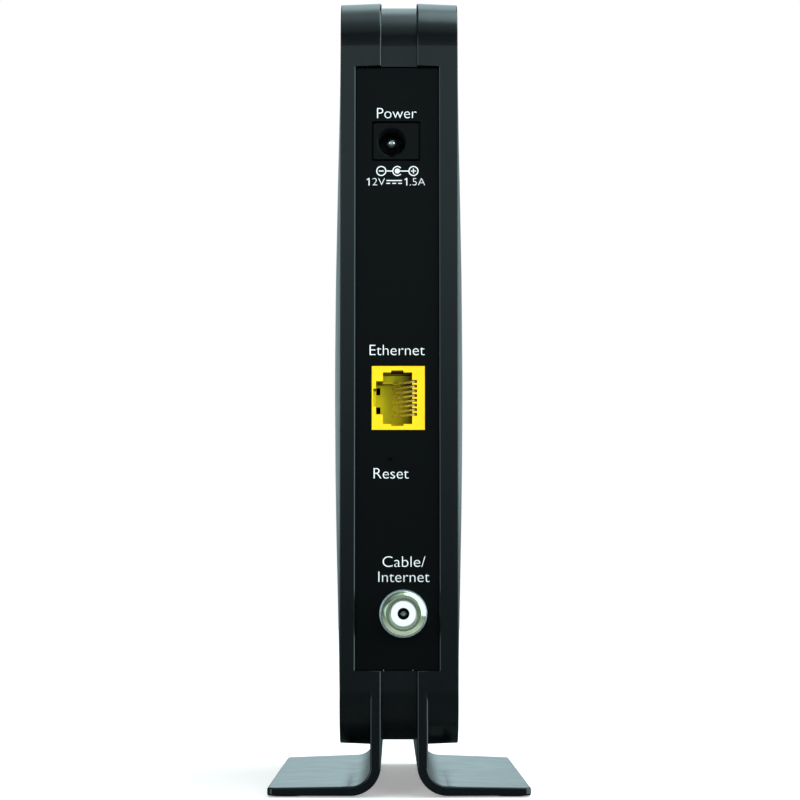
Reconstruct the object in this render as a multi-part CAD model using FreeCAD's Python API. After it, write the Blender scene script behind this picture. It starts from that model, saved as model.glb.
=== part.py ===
"""Cable modem: a slim upright case of two domed side shells on a centre band.

Each shell is one moulding with the bent foot that carries it.

Frame: millimetres, +Z up, the origin under the middle of the whole object on the surface it stands on.
The ports face -Y, the status lights face +Y, and the shells part along the plane x = 0.
"""
import FreeCAD, Part
import math
import os

Vector = FreeCAD.Vector

# ---- driving dimensions -------------------------------------------------------------------------
HEIGHT = 174.0
BODY_DEPTH = 122.0
BODY_BOTTOM = 10.7            # height of the case's underside above the table
CONNECTOR_REACH = 8.6         # how far the coaxial barrel stands out behind the case
FOOT_HALF_SPAN = 28.2
CORNER_RADIUS = 11.6          # of the case, seen from the side
WALL = 2.0

REAR_Y = CONNECTOR_REACH - (BODY_DEPTH + CONNECTOR_REACH) / 2
FRONT_Y = REAR_Y + BODY_DEPTH
MID_Y = (REAR_Y + FRONT_Y) / 2
MID_Z = (HEIGHT + BODY_BOTTOM) / 2

# shells
SEAM_X = 3.85                 # where each shell starts, beside the band
RIM_X = 12.75                 # the crisp edge between the perimeter and the domed side
DOME_RISE = 2.2
DRAFT = 0.0393                # slope of the perimeter, from the seam to the rim
SEAM_ROUND = 0.4              # rounding of the shell's edges beside the band and round the notch
RIM_FILLET = 0.2
REACH_X = 18.0                # beyond the dome, for tools that cut or trim

# centre band
STRIP_HALF = 3.78
STRIP_RECESS = 1.05
STRIP_INNER = 3.4             # depth of the band's inner face, from the case's outline
FLANGE_HALF = 5.8
FLANGE_RECESS = 2.25
FLANGE_FROM_Z = 36.0

# rear notch and port panel
PANEL_BOTTOM = 26.95
PANEL_TOP = 157.85
PANEL_LEFT = -9.4
PANEL_RIGHT = 8.6
PANEL_GAP = 0.12
PANEL_FACE_Y = REAR_Y + 1.6
PANEL_BACK_Y = REAR_Y + 3.8
PANEL_LIP = 0.9               # side lips of the panel, behind the shells
PANEL_LIP_Y = REAR_Y + 2.4

# board
BOARD_X = 5.6                 # component side, which faces -X
BOARD_THICKNESS = 1.6
BOARD_BACK_Y = REAR_Y + 4.4
BOARD_FRONT_Y = FRONT_Y - 11.0
BOARD_BOTTOM = 34.0
BOARD_TOP = 165.0
BOARD_HOLES = [
    (REAR_Y + 8.5, 54.0),
    (REAR_Y + 8.5, 160.0),
    (FRONT_Y - 15.0, 40.0),
    (FRONT_Y - 15.0, 160.0),
]
LEAD_END_X = BOARD_X + BOARD_THICKNESS + 0.9
LEAD_RADIUS = 0.4
LEAD_GAP = 0.12

# ports: centres on the panel
POWER_X = -1.6
POWER_Z = 141.4
POWER_WINDOW = (-5.92, 4.63, 137.24, 145.99)
POWER_GAP = 0.42
POWER_HOLE_RADIUS = 2.95
POWER_PIN_RADIUS = 1.05
POWER_ROOT_RADIUS = 0.85
POWER_HOLE_DEPTH = 10.0
ETHERNET_X = (-5.9, 5.55)
ETHERNET_Z = 85.55
ETHERNET_HALF_HEIGHT = 6.9
CONTACT_COUNT = 8
CONTACT_PITCH = 1.016
RESET_X = -1.9
RESET_Z = 72.05
RESET_HOLE_RADIUS = 0.6
RESET_TRAVEL = 0.3
COAX_X = 0.9
COAX_Z = 39.1
THREAD_RADIUS = 4.7625        # 3/8 inch, 32 threads to the inch
THREAD_PITCH = 0.79375
COLLAR_RADIUS = 5.15

# feet
LEG_THICKNESS = 2.35
LEG_TOP = 22.7                # the leg runs into the shell's flat rear and front walls here
BEND_X = 10.4
FOOT_UNDERSIDE = 0.35
FOOT_TOP_AT_BEND = 2.4
FOOT_TOP_AT_TIP = 2.1
FOOT_OUTER_FRONT_Y = MID_Y + 53.5
FOOT_INNER_FRONT_Y = MID_Y + 60.5
FOOT_CORNER_RADIUS = 1.4
FOOT_EDGE_RADIUS = 0.4
PAD_X = (21.2, 27.2)

# screws
SHANK_RADIUS = 1.2
PILOT_RADIUS = 1.23
SCREW_HEAD_RADIUS = 2.2
SCREW_HEAD_HEIGHT = 1.5
BOSS_RADIUS = 2.7
BOSS_HOLE_END_X = 10.4


# ---- small tools --------------------------------------------------------------------------------
def box(x0, x1, y0, y1, z0, z1):
    """Box between two corners, given in any order."""
    low = Vector(min(x0, x1), min(y0, y1), min(z0, z1))
    return Part.makeBox(abs(x1 - x0), abs(y1 - y0), abs(z1 - z0), low)


def rod_x(radius, x0, x1, y, z):
    """Cylinder along X."""
    return Part.makeCylinder(radius, abs(x1 - x0), Vector(min(x0, x1), y, z), Vector(1, 0, 0))


def rod_y(radius, x, y0, y1, z):
    """Cylinder along Y."""
    return Part.makeCylinder(radius, abs(y1 - y0), Vector(x, min(y0, y1), z), Vector(0, 1, 0))


def cut_all(shape, tools):
    for tool in tools:
        shape = shape.cut(tool)
    return shape


def fuse_all(shapes):
    result = shapes[0]
    for shape in shapes[1:]:
        result = result.fuse(shape)
    return result.removeSplitter()


def prism_z(points, z0, z1):
    """Upright prism on a plan of (x, y) points."""
    corners = [Vector(x, y, z0) for x, y in points]
    face = Part.Face(Part.makePolygon(corners + corners[:1]))
    return face.extrude(Vector(0, 0, z1 - z0))


def mirrored(shape, side):
    """The +X shape itself for side 1, its mirror image for side -1."""
    if side > 0:
        return shape
    return shape.mirror(Vector(0, 0, 0), Vector(1, 0, 0))


def rounded_block(x0, x1, y0, y1, z0, z1, radius, axis):
    """Box with the four edges along one axis rounded."""
    block = box(x0, x1, y0, y1, z0, z1)
    wanted = [e for e in block.Edges if abs(abs(e.tangentAt(e.FirstParameter).dot(axis)) - 1) < 1e-6]
    return block.makeFillet(radius, wanted)


def revolved_y(profile, x, z):
    """Solid of revolution about a line along Y: profile is (radius, y) points."""
    corners = [Vector(x + r, y, z) for r, y in profile]
    face = Part.Face(Part.makePolygon(corners + corners[:1]))
    return face.revolve(Vector(x, 0, z), Vector(0, 1, 0), 360)


def bent_strip(points, thickness, z0, z1):
    """Flat wire that follows (x, y) points, with a round at each bend."""
    pieces = []
    for (xa, ya), (xb, yb) in zip(points, points[1:]):
        length = math.hypot(xb - xa, yb - ya)
        nx = -(yb - ya) / length * thickness / 2
        ny = (xb - xa) / length * thickness / 2
        plan = [(xa + nx, ya + ny), (xb + nx, yb + ny), (xb - nx, yb - ny), (xa - nx, ya - ny)]
        pieces.append(prism_z(plan, z0, z1))
    for x, y in points[1:-1]:
        pieces.append(Part.makeCylinder(thickness / 2, z1 - z0, Vector(x, y, z0)))
    return fuse_all(pieces)


# ---- the case's outline -------------------------------------------------------------------------
def outline_wire(x, inset):
    """Rounded rectangle of the case seen from the side, in the plane at x."""
    y0, y1 = REAR_Y + inset, FRONT_Y - inset
    z0, z1 = BODY_BOTTOM + inset, HEIGHT - inset
    r = CORNER_RADIUS - inset
    k = r * (1 - math.sqrt(0.5))
    at = lambda y, z: Vector(x, y, z)
    edges = [
        Part.LineSegment(at(y0 + r, z0), at(y1 - r, z0)),
        Part.Arc(at(y1 - r, z0), at(y1 - k, z0 + k), at(y1, z0 + r)),
        Part.LineSegment(at(y1, z0 + r), at(y1, z1 - r)),
        Part.Arc(at(y1, z1 - r), at(y1 - k, z1 - k), at(y1 - r, z1)),
        Part.LineSegment(at(y1 - r, z1), at(y0 + r, z1)),
        Part.Arc(at(y0 + r, z1), at(y0 + k, z1 - k), at(y0, z1 - r)),
        Part.LineSegment(at(y0, z1 - r), at(y0, z0 + r)),
        Part.Arc(at(y0, z0 + r), at(y0 + k, z0 + k), at(y0 + r, z0)),
    ]
    return Part.Wire([edge.toShape() for edge in edges])


def outline_slab(x0, x1, inset0, inset1):
    """Slab of the outline between two planes, ruled from one inset to the other."""
    return Part.makeLoft([outline_wire(x0, inset0), outline_wire(x1, inset1)], True, True)


def drafted_slab(x0, x1, inset):
    """Slab whose perimeter leans in by the draft as x grows from the seam."""
    return outline_slab(x0, x1, inset + DRAFT * (x0 - SEAM_X), inset + DRAFT * (x1 - SEAM_X))


def under_dome(rim_x):
    """Everything below a side that bulges by DOME_RISE in the middle and by nothing at the outline."""
    spread = 1.1
    weights = (1 - spread ** 2, 1 + spread ** 2, 1 - spread ** 2)
    places = (-spread, 0.0, spread)
    surface = Part.BezierSurface()
    surface.increase(2, 2)
    for i in range(3):
        for j in range(3):
            pole = Vector(
                rim_x + DOME_RISE * weights[i] * weights[j],
                MID_Y + places[i] * BODY_DEPTH / 2,
                MID_Z + places[j] * (HEIGHT - BODY_BOTTOM) / 2,
            )
            surface.setPole(i + 1, j + 1, pole)
    return surface.toShape().extrude(Vector(-2 * REACH_X, 0, 0))


def shell_solid(inset, rim_x, x0):
    return drafted_slab(x0, REACH_X, inset).common(under_dome(rim_x))


# ---- side shells --------------------------------------------------------------------------------
VENT_COUNT = 13
VENT_PITCH = 4.8
VENT_WIDTH = 1.6
VENT_LENGTH = 13.0
VENT_ROWS_Z = (31.0, 154.0)
SNAP_TOP_Y = (MID_Y - 36.0, MID_Y, MID_Y + 36.0)
SNAP_FRONT_Z = (45.0, 100.0, 150.0)
SNAP_WIDTH = 6.0
RAIL_Z = (63.0, 111.0, 148.0)
RAIL_WIDTH = 5.0


def vent_slots():
    """Upright round-ended slots through the domed side, in one row near the foot and one near the top."""
    slots = []
    for row_z in VENT_ROWS_Z:
        for i in range(VENT_COUNT):
            y = MID_Y + (i - (VENT_COUNT - 1) / 2) * VENT_PITCH
            slots.append(
                rounded_block(
                    8.5, REACH_X,
                    y - VENT_WIDTH / 2, y + VENT_WIDTH / 2,
                    row_z - VENT_LENGTH / 2, row_z + VENT_LENGTH / 2,
                    VENT_WIDTH / 2 - 0.01, Vector(1, 0, 0),
                )
            )
    return slots


def snap_part(place, edge, x0, x1, depth0, depth1, width):
    """Box beside the top or the front wall: depth is measured from the case's outline."""
    if edge == "top":
        return box(x0, x1, place - width / 2, place + width / 2, HEIGHT - depth0, HEIGHT - depth1)
    return box(x0, x1, FRONT_Y - depth0, FRONT_Y - depth1, place - width / 2, place + width / 2)


def snap_places():
    return [("top", y) for y in SNAP_TOP_Y] + [("front", z) for z in SNAP_FRONT_Z]


def snap_hook(edge, place):
    """Arm that reaches from the shell's wall under the band's flange, with a nub for the flange's pocket."""
    root = snap_part(place, edge, 6.2, 7.8, 1.2, 4.8, SNAP_WIDTH)
    arm = snap_part(place, edge, 4.45, 7.8, 3.6, 4.8, SNAP_WIDTH)
    nub = snap_part(place, edge, 4.6, 5.35, 2.5, 3.7, SNAP_WIDTH - 1.0)
    return [root, arm, nub]


def screw_boss(y, z, x0):
    """Boss that stands on the inside of the domed wall."""
    return rod_x(BOSS_RADIUS, x0, REACH_X, y, z)


def shell(side):
    notch_x = PANEL_RIGHT if side > 0 else -PANEL_LEFT
    outer = shell_solid(0.0, RIM_X, SEAM_X)
    rim = [e for e in outer.Edges if e.BoundBox.XMin > RIM_X - 0.2 and e.BoundBox.XMax < RIM_X + 0.2]
    outer = outer.makeFillet(RIM_FILLET, rim)
    seam = [e for e in outer.Edges if e.BoundBox.XMax < SEAM_X + 0.01]
    outer = outer.makeFillet(SEAM_ROUND, seam)
    trim = outer.copy()
    inner = shell_solid(WALL, RIM_X - WALL, SEAM_X - 1.0)
    body = outer.cut(inner)

    additions = []
    for edge, place in snap_places():
        additions += snap_hook(edge, place)
    if side > 0:
        for y, z in BOARD_HOLES:
            additions.append(screw_boss(y, z, BOARD_X + BOARD_THICKNESS))
    for z in RAIL_Z:
        additions.append(
            box(9.3, REACH_X, PANEL_BACK_Y + 0.1, PANEL_BACK_Y + 1.3, z - RAIL_WIDTH / 2, z + RAIL_WIDTH / 2)
        )
    for addition in additions:
        body = body.fuse(addition.common(trim))
    body = body.fuse(foot().cut(inner)).removeSplitter()

    cutters = vent_slots()
    cutters.append(box(0, notch_x, REAR_Y - 1, PANEL_BACK_Y, PANEL_BOTTOM, PANEL_TOP))
    if side > 0:
        for y, z in BOARD_HOLES:
            cutters.append(rod_x(PILOT_RADIUS, BOARD_X, BOSS_HOLE_END_X, y, z))
    body = cut_all(body, cutters)
    return mirrored(rounded_notch(body, notch_x), side)


def rounded_notch(body, notch_x):
    """Rounds the notch's outer edges: what is cut is a bar beside each edge, less the round itself."""
    r = SEAM_ROUND
    side_y = REAR_Y + DRAFT * (notch_x - SEAM_X)
    bar = box(notch_x - r, notch_x + r, REAR_Y - r, side_y + r, PANEL_BOTTOM, PANEL_TOP)
    kept = Part.makeCylinder(r, PANEL_TOP - PANEL_BOTTOM, Vector(notch_x + r, side_y + r, PANEL_BOTTOM))
    body = body.cut(bar.cut(kept))
    for edge_z, up in ((PANEL_TOP, 1), (PANEL_BOTTOM, -1)):
        bar = box(0, notch_x, REAR_Y - r, REAR_Y + r, edge_z - up * r, edge_z + up * r)
        kept = Part.makeCylinder(r, notch_x + 1, Vector(-0.5, REAR_Y + r, edge_z + up * r), Vector(1, 0, 0))
        body = body.cut(bar.cut(kept))
    return body


# ---- centre band --------------------------------------------------------------------------------
LENS_HALF_WIDTH = 2.5
LENS_BOTTOM = 64.0
LENS_TOP = 144.0
LENS_GAP = 0.06


def lens_block(half_width, y0, y1, margin):
    """Upright round-ended bar in the front of the band."""
    return rounded_block(
        -half_width, half_width, y0, y1, LENS_BOTTOM - margin, LENS_TOP + margin,
        half_width - 0.01, Vector(0, 1, 0),
    )


def centre_band():
    strip = outline_slab(-STRIP_HALF, STRIP_HALF, STRIP_RECESS, STRIP_RECESS)
    flange = outline_slab(-FLANGE_HALF, FLANGE_HALF, FLANGE_RECESS, FLANGE_RECESS)
    flange = flange.common(box(-REACH_X, REACH_X, REAR_Y, FRONT_Y, FLANGE_FROM_Z, HEIGHT))
    hollow = outline_slab(-REACH_X, REACH_X, STRIP_INNER, STRIP_INNER)
    band = strip.fuse(flange).cut(hollow).removeSplitter()
    cutters = [
        box(-REACH_X, REACH_X, REAR_Y, PANEL_BACK_Y + 0.2, PANEL_BOTTOM - 0.05, PANEL_TOP + 0.05),
        lens_block(LENS_HALF_WIDTH + LENS_GAP, FRONT_Y - 6, FRONT_Y, LENS_GAP),
    ]
    for edge, place in snap_places():
        for side in (1, -1):
            cutters.append(mirrored(snap_part(place, edge, 4.45, 5.5, 2.0, 3.6, SNAP_WIDTH - 0.6), side))
    return cut_all(band, cutters)


def front_lens():
    """Smoked window: a pane flush with the band, on a wider flange behind it."""
    pane = lens_block(LENS_HALF_WIDTH, FRONT_Y - STRIP_INNER - 0.3, FRONT_Y - STRIP_RECESS - 0.05, 0)
    flange = lens_block(LENS_HALF_WIDTH + 0.7, FRONT_Y - STRIP_INNER - 1.1, FRONT_Y - STRIP_INNER - 0.05, 0.7)
    return fuse_all([pane, flange])


LIGHT_Z = [72.0 + 16.0 * i for i in range(5)]
LIGHT_Y = FRONT_Y - 13.2


def light_guide():
    """Clear bar behind the lens, with one pipe to each status light and a post at each end."""
    front = FRONT_Y - STRIP_INNER - 1.2
    back = front - 1.8
    pieces = [box(-2.2, 2.2, back, front, LIGHT_Z[0] - 5, LIGHT_Z[-1] + 5)]
    pipe = [
        (4.5, LIGHT_Y + 1.0), (BOARD_X - 0.1, LIGHT_Y + 1.0), (BOARD_X - 0.1, LIGHT_Y + 1.9),
        (1.3, back), (-1.0, back), (-1.0, back - 0.6),
    ]
    for z in LIGHT_Z:
        pieces.append(prism_z(pipe, z - 1.1, z + 1.1))
    post = [
        (3.6, LIGHT_Y - 0.8), (BOARD_X, LIGHT_Y - 0.8), (BOARD_X, LIGHT_Y + 2.0), (2.0, back), (-0.6, back),
    ]
    for z in (LIGHT_Z[0] - 4, LIGHT_Z[-1] + 4):
        pieces.append(prism_z(post, z - 0.9, z + 0.9))
    return fuse_all(pieces)


def status_leds():
    y0, y1 = LIGHT_Y - 0.9, LIGHT_Y + 0.9
    return Part.makeCompound([box(4.6, BOARD_X, y0, y1, z - 0.8, z + 0.8) for z in LIGHT_Z])


# ---- rear panel ---------------------------------------------------------------------------------
def rear_panel():
    plate = box(
        PANEL_LEFT + PANEL_GAP, PANEL_RIGHT - PANEL_GAP, PANEL_FACE_Y, PANEL_BACK_Y,
        PANEL_BOTTOM + PANEL_GAP, PANEL_TOP - PANEL_GAP,
    )
    lips = box(
        PANEL_LEFT - PANEL_LIP, PANEL_RIGHT + PANEL_LIP, PANEL_LIP_Y, PANEL_BACK_Y,
        PANEL_BOTTOM + PANEL_GAP, PANEL_TOP - PANEL_GAP,
    )
    window = rounded_block(
        POWER_WINDOW[0], POWER_WINDOW[1], PANEL_FACE_Y - 1, PANEL_BACK_Y + 1,
        POWER_WINDOW[2], POWER_WINDOW[3], 0.3, Vector(0, 1, 0),
    )
    gap = 0.1
    cutters = [
        window,
        box(
            ETHERNET_X[0] - gap, ETHERNET_X[1] + gap, PANEL_FACE_Y - 1, PANEL_BACK_Y + 1,
            ETHERNET_Z - ETHERNET_HALF_HEIGHT - gap, ETHERNET_Z + ETHERNET_HALF_HEIGHT + gap,
        ),
        rod_y(RESET_HOLE_RADIUS, RESET_X, PANEL_FACE_Y - 1, PANEL_BACK_Y + 1, RESET_Z),
        rod_y(COLLAR_RADIUS + 0.1, COAX_X, PANEL_FACE_Y - 1, PANEL_BACK_Y + 1, COAX_Z),
    ]
    return cut_all(fuse_all([plate, lips]), cutters)


# ---- feet ---------------------------------------------------------------------------------------
PAD_CENTRES_Y = (MID_Y - 50.0, MID_Y + 40.0)
PAD_HALF_LENGTH = 6.5
PAD_RECESS = 0.55


def foot_section():
    """Bent plate seen from behind: upright leg, round bend, tapered foot. At y = 0, on the +X side."""
    at = lambda x, z: Vector(x, 0, z)
    leg_outer = SEAM_X + LEG_THICKNESS
    outer_r = BEND_X - SEAM_X
    inner_r = BEND_X - leg_outer
    k = 1 - math.sqrt(0.5)
    outer_z = FOOT_UNDERSIDE + outer_r
    inner_z = FOOT_TOP_AT_BEND + inner_r
    bend_middle = at(SEAM_X + outer_r * k, FOOT_UNDERSIDE + outer_r * k)
    hollow_middle = at(leg_outer + inner_r * k, FOOT_TOP_AT_BEND + inner_r * k)
    edges = [
        Part.LineSegment(at(SEAM_X, LEG_TOP), at(SEAM_X, outer_z)),
        Part.Arc(at(SEAM_X, outer_z), bend_middle, at(BEND_X, FOOT_UNDERSIDE)),
        Part.LineSegment(at(BEND_X, FOOT_UNDERSIDE), at(FOOT_HALF_SPAN, FOOT_UNDERSIDE)),
        Part.LineSegment(at(FOOT_HALF_SPAN, FOOT_UNDERSIDE), at(FOOT_HALF_SPAN, FOOT_TOP_AT_TIP)),
        Part.LineSegment(at(FOOT_HALF_SPAN, FOOT_TOP_AT_TIP), at(BEND_X, FOOT_TOP_AT_BEND)),
        Part.Arc(at(BEND_X, FOOT_TOP_AT_BEND), hollow_middle, at(leg_outer, inner_z)),
        Part.LineSegment(at(leg_outer, inner_z), at(leg_outer, LEG_TOP)),
        Part.LineSegment(at(leg_outer, LEG_TOP), at(SEAM_X, LEG_TOP)),
    ]
    return Part.Face(Part.Wire([edge.toShape() for edge in edges]))


def foot_plan():
    """Plan of the foot: its ends follow the case's draft, and its front outer corner is cut back."""
    slope = (FOOT_OUTER_FRONT_Y - FOOT_INNER_FRONT_Y) / (FOOT_HALF_SPAN - BEND_X)
    run = FOOT_HALF_SPAN - SEAM_X
    start_of_cut = (FRONT_Y + DRAFT * SEAM_X - FOOT_INNER_FRONT_Y + slope * BEND_X) / (slope + DRAFT)
    return [
        (SEAM_X, REAR_Y),
        (FOOT_HALF_SPAN, REAR_Y + DRAFT * run),
        (FOOT_HALF_SPAN, FOOT_OUTER_FRONT_Y),
        (start_of_cut, FRONT_Y - DRAFT * (start_of_cut - SEAM_X)),
        (SEAM_X, FRONT_Y),
    ]


def foot_rim(plate):
    """Every edge round the bent plate's outline, apart from the ones at its top inside the case."""
    found = []
    for edge in plate.Edges:
        bounds = edge.BoundBox
        along_plate = bounds.YLength > 50 and bounds.XMax < FOOT_HALF_SPAN - 1
        upright = bounds.ZLength > 0.5 and bounds.XMin > BEND_X
        if bounds.ZMin < LEG_TOP - 0.1 and not along_plate and not upright:
            found.append(edge)
    return found


def foot_pad(y, margin):
    return rounded_block(
        PAD_X[0] - margin, PAD_X[1] + margin, y - PAD_HALF_LENGTH - margin, y + PAD_HALF_LENGTH + margin,
        0.0, FOOT_UNDERSIDE + PAD_RECESS, 2.0, Vector(0, 0, 1),
    )


def foot():
    section = foot_section()
    section.translate(Vector(0, REAR_Y - 1, 0))
    plate = section.extrude(Vector(0, BODY_DEPTH + 2, 0)).common(prism_z(foot_plan(), -1, LEG_TOP + 1))
    corners = [
        e for e in plate.Edges
        if e.BoundBox.XMin > FOOT_HALF_SPAN - 0.01 and e.BoundBox.ZLength > 1 and e.BoundBox.YLength < 0.01
    ]
    plate = plate.makeFillet(FOOT_CORNER_RADIUS, corners)
    plate = plate.makeFillet(FOOT_EDGE_RADIUS, foot_rim(plate))
    return cut_all(plate, [foot_pad(y, 0.05) for y in PAD_CENTRES_Y])


def foot_pads(side):
    return Part.makeCompound([mirrored(foot_pad(y, 0.0), side) for y in PAD_CENTRES_Y])


# ---- screws -------------------------------------------------------------------------------------
def screw(head_x, y, z, length):
    """Pan-head screw along +X with a cross recess, its head's flat side at head_x."""
    head = rod_x(SCREW_HEAD_RADIUS, head_x - SCREW_HEAD_HEIGHT, head_x, y, z)
    rim = [e for e in head.Edges if e.BoundBox.XMax < head_x - SCREW_HEAD_HEIGHT + 0.01]
    head = head.makeFillet(0.6, rim)
    top = head_x - SCREW_HEAD_HEIGHT
    cross = [box(top - 1, top + 0.8, y - 1.2, y + 1.2, z - 0.3, z + 0.3)]
    cross.append(box(top - 1, top + 0.8, y - 0.3, y + 0.3, z - 1.2, z + 1.2))
    shank = rod_x(SHANK_RADIUS, head_x, head_x + length, y, z)
    return cut_all(fuse_all([head, shank]), cross)


# ---- power inlet --------------------------------------------------------------------------------
POWER_NOSE_Y = PANEL_FACE_Y + 0.12
POWER_BACK_Y = REAR_Y + 16.2
POWER_LEADS = [
    (POWER_BACK_Y - 1.2, POWER_Z),
    (POWER_BACK_Y - 5.5, POWER_Z),
    (POWER_BACK_Y - 3.4, POWER_Z + 3.6),
]


def leads(places, x0):
    return [rod_x(LEAD_RADIUS, x0, LEAD_END_X, y, z) for y, z in places]


def dc_jack_housing():
    x0, x1, z0, z1 = POWER_WINDOW
    nose = rounded_block(
        x0 + POWER_GAP, x1 - POWER_GAP, POWER_NOSE_Y, PANEL_BACK_Y + 0.3,
        z0 + POWER_GAP, z1 - POWER_GAP, 0.35, Vector(0, 1, 0),
    )
    barrel = box(x0 + 0.1, BOARD_X, PANEL_BACK_Y + 0.2, POWER_BACK_Y, z0 - 0.2, z1 + 0.2)
    mouth = rod_y(POWER_HOLE_RADIUS, POWER_X, POWER_NOSE_Y - 1, POWER_NOSE_Y + POWER_HOLE_DEPTH, POWER_Z)
    mouth_edge = revolved_y(
        [
            (0, POWER_NOSE_Y - 0.1), (POWER_HOLE_RADIUS + 0.4, POWER_NOSE_Y - 0.1),
            (POWER_HOLE_RADIUS, POWER_NOSE_Y + 0.3), (0, POWER_NOSE_Y + 0.3),
        ],
        POWER_X, POWER_Z,
    )
    key = box(
        POWER_X - 0.6, POWER_X + 0.6, POWER_NOSE_Y - 1, POWER_NOSE_Y + 9.0,
        POWER_Z - POWER_HOLE_RADIUS - 0.35, POWER_Z,
    )
    pin_way = rod_y(POWER_ROOT_RADIUS + 0.03, POWER_X, POWER_NOSE_Y, POWER_BACK_Y + 1, POWER_Z)
    spring_bay = box(
        POWER_X + POWER_HOLE_RADIUS - 1.2, BOARD_X - 1.0, POWER_NOSE_Y + 4.0, POWER_BACK_Y - 2.0,
        POWER_Z - 1.3, POWER_Z + 1.3,
    )
    return cut_all(fuse_all([nose, barrel]), [mouth, mouth_edge, key, pin_way, spring_bay]).fuse(
        fuse_all(leads(POWER_LEADS[2:], BOARD_X - 0.5))
    )


def dc_jack_pin():
    """Centre pin with a bevelled tip, and the tail that drops from its root to the board."""
    tip = POWER_NOSE_Y + 0.9
    pin = rod_y(POWER_PIN_RADIUS, POWER_X, tip, POWER_NOSE_Y + POWER_HOLE_DEPTH, POWER_Z)
    front = [e for e in pin.Edges if e.BoundBox.YMax < tip + 0.01]
    pin = pin.makeChamfer(0.42, front)
    root = rod_y(POWER_ROOT_RADIUS, POWER_X, POWER_NOSE_Y + 3.0, POWER_BACK_Y + 0.5, POWER_Z)
    y0, y1 = POWER_BACK_Y + 0.1, POWER_BACK_Y + 0.6
    tail = box(POWER_X - 1.4, BOARD_X - 0.3, y0, y1, POWER_Z - 1.2, POWER_Z + 1.2)
    lead = box(BOARD_X - 0.4, LEAD_END_X, y0, y1, POWER_Z - 0.4, POWER_Z + 0.4)
    return fuse_all([pin, root, tail, lead])


def dc_jack_spring():
    """Leaf contact beside the hole, which bows towards the plug's path."""
    near = POWER_X + POWER_HOLE_RADIUS
    y0 = POWER_NOSE_Y + 4.4
    route = [(near + 0.9, y0), (near + 0.05, y0 + 2.2), (near + 1.0, y0 + 4.6), (BOARD_X - 1.35, y0 + 5.0)]
    return bent_strip(route, 0.3, POWER_Z - 1.0, POWER_Z + 1.0)


# ---- ethernet jack ------------------------------------------------------------------------------
ETHERNET_FACE_Y = PANEL_FACE_Y + 0.02
ETHERNET_BACK_Y = REAR_Y + 18.0
CAVITY = (-3.5, 2.83, -5.65, 5.55)       # x low, x high, then z low, z high from the jack's middle
CAVITY_DEPTH = 12.5
FLOOR_SLOT_X = 3.87
BACK_STEP = 3.4               # the back wall stands this much nearer above BACK_STEP_Z
BACK_STEP_Z = 3.75
LATCH_WINDOW_X = -4.1         # the two windows in the back wall end here, either side of the latch
LATCH_WINDOWS_Z = ((1.5, 3.0), (-2.7, -1.2))
ETHERNET_PEGS = [(ETHERNET_BACK_Y - 9.0, ETHERNET_Z - 5.7), (ETHERNET_BACK_Y - 9.0, ETHERNET_Z + 5.7)]
INSERT_X = (4.1, 5.4)
INSERT_BACK_Y = ETHERNET_BACK_Y - 0.6


def contact_places():
    """Height of each contact, and the row of its lead in the board."""
    places = []
    for i in range(CONTACT_COUNT):
        z = ETHERNET_Z + (i - (CONTACT_COUNT - 1) / 2) * CONTACT_PITCH
        y = ETHERNET_BACK_Y - (1.6 if i % 2 else 4.1)
        places.append((z, y))
    return places


def ethernet_jack():
    x0, x1 = ETHERNET_X
    low, high, bottom, top = CAVITY
    face = ETHERNET_FACE_Y
    z = ETHERNET_Z
    block = box(x0, x1, face, ETHERNET_BACK_Y, z - ETHERNET_HALF_HEIGHT, z + ETHERNET_HALF_HEIGHT)
    deep = face + CAVITY_DEPTH
    notch = (-1.7, 0.95)
    cutters = [
        box(low, high, face - 1, deep - BACK_STEP, z + bottom, z + top),
        box(low, high, face - 1, deep, z + bottom, z + BACK_STEP_Z),
        box(notch[0], notch[1], face - 1, face + 6.0, z + top - 0.1, z + top + 0.43),
        box(notch[0], notch[1], face - 1, face + 6.0, z + bottom - 0.43, z + bottom + 0.1),
        box(-5.0, low + 0.1, face - 1, deep - 1, z - 3.6, z + 3.65),
        box(-5.57, -4.9, face - 1, face + 7.0, z - 1.85, z + 2.05),
        box(INSERT_X[0] - 0.08, x1 + 1, face + 1.6, ETHERNET_BACK_Y + 1, z - 4.75, z + 4.75),
    ]
    for window_low, window_high in LATCH_WINDOWS_Z:
        cutters.append(
            box(-5.0, LATCH_WINDOW_X, face + 3, ETHERNET_BACK_Y + 1, z + window_low, z + window_high)
        )
    for contact_z, lead_y in contact_places():
        cutters.append(
            box(high - 0.1, FLOOR_SLOT_X, face - 1, deep + 1.5, contact_z - 0.33, contact_z + 0.33)
        )
        cutters.append(
            box(FLOOR_SLOT_X - 0.1, INSERT_X[0], lead_y - 0.3, lead_y + 0.3, contact_z - 0.3, contact_z + 0.3)
        )
        cutters.append(box(high, FLOOR_SLOT_X, deep, lead_y + 0.3, contact_z - 0.3, contact_z + 0.3))
    jack = cut_all(block, cutters)
    pegs = [rod_x(0.8, x1 - 0.5, LEAD_END_X, y, peg_z) for y, peg_z in ETHERNET_PEGS]
    return fuse_all([jack] + pegs)


def ethernet_insert():
    """Carrier that holds the eight contacts down on the board, under the cavity's floor."""
    carrier = box(
        INSERT_X[0], INSERT_X[1], ETHERNET_FACE_Y + 1.7, INSERT_BACK_Y, ETHERNET_Z - 4.65, ETHERNET_Z + 4.65
    )
    ways = []
    for contact_z, lead_y in contact_places():
        ways.append(
            box(
                INSERT_X[0] - 1, INSERT_X[1] + 1, lead_y - 0.22, lead_y + 0.22,
                contact_z - 0.22, contact_z + 0.22,
            )
        )
    return cut_all(carrier, ways)


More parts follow.
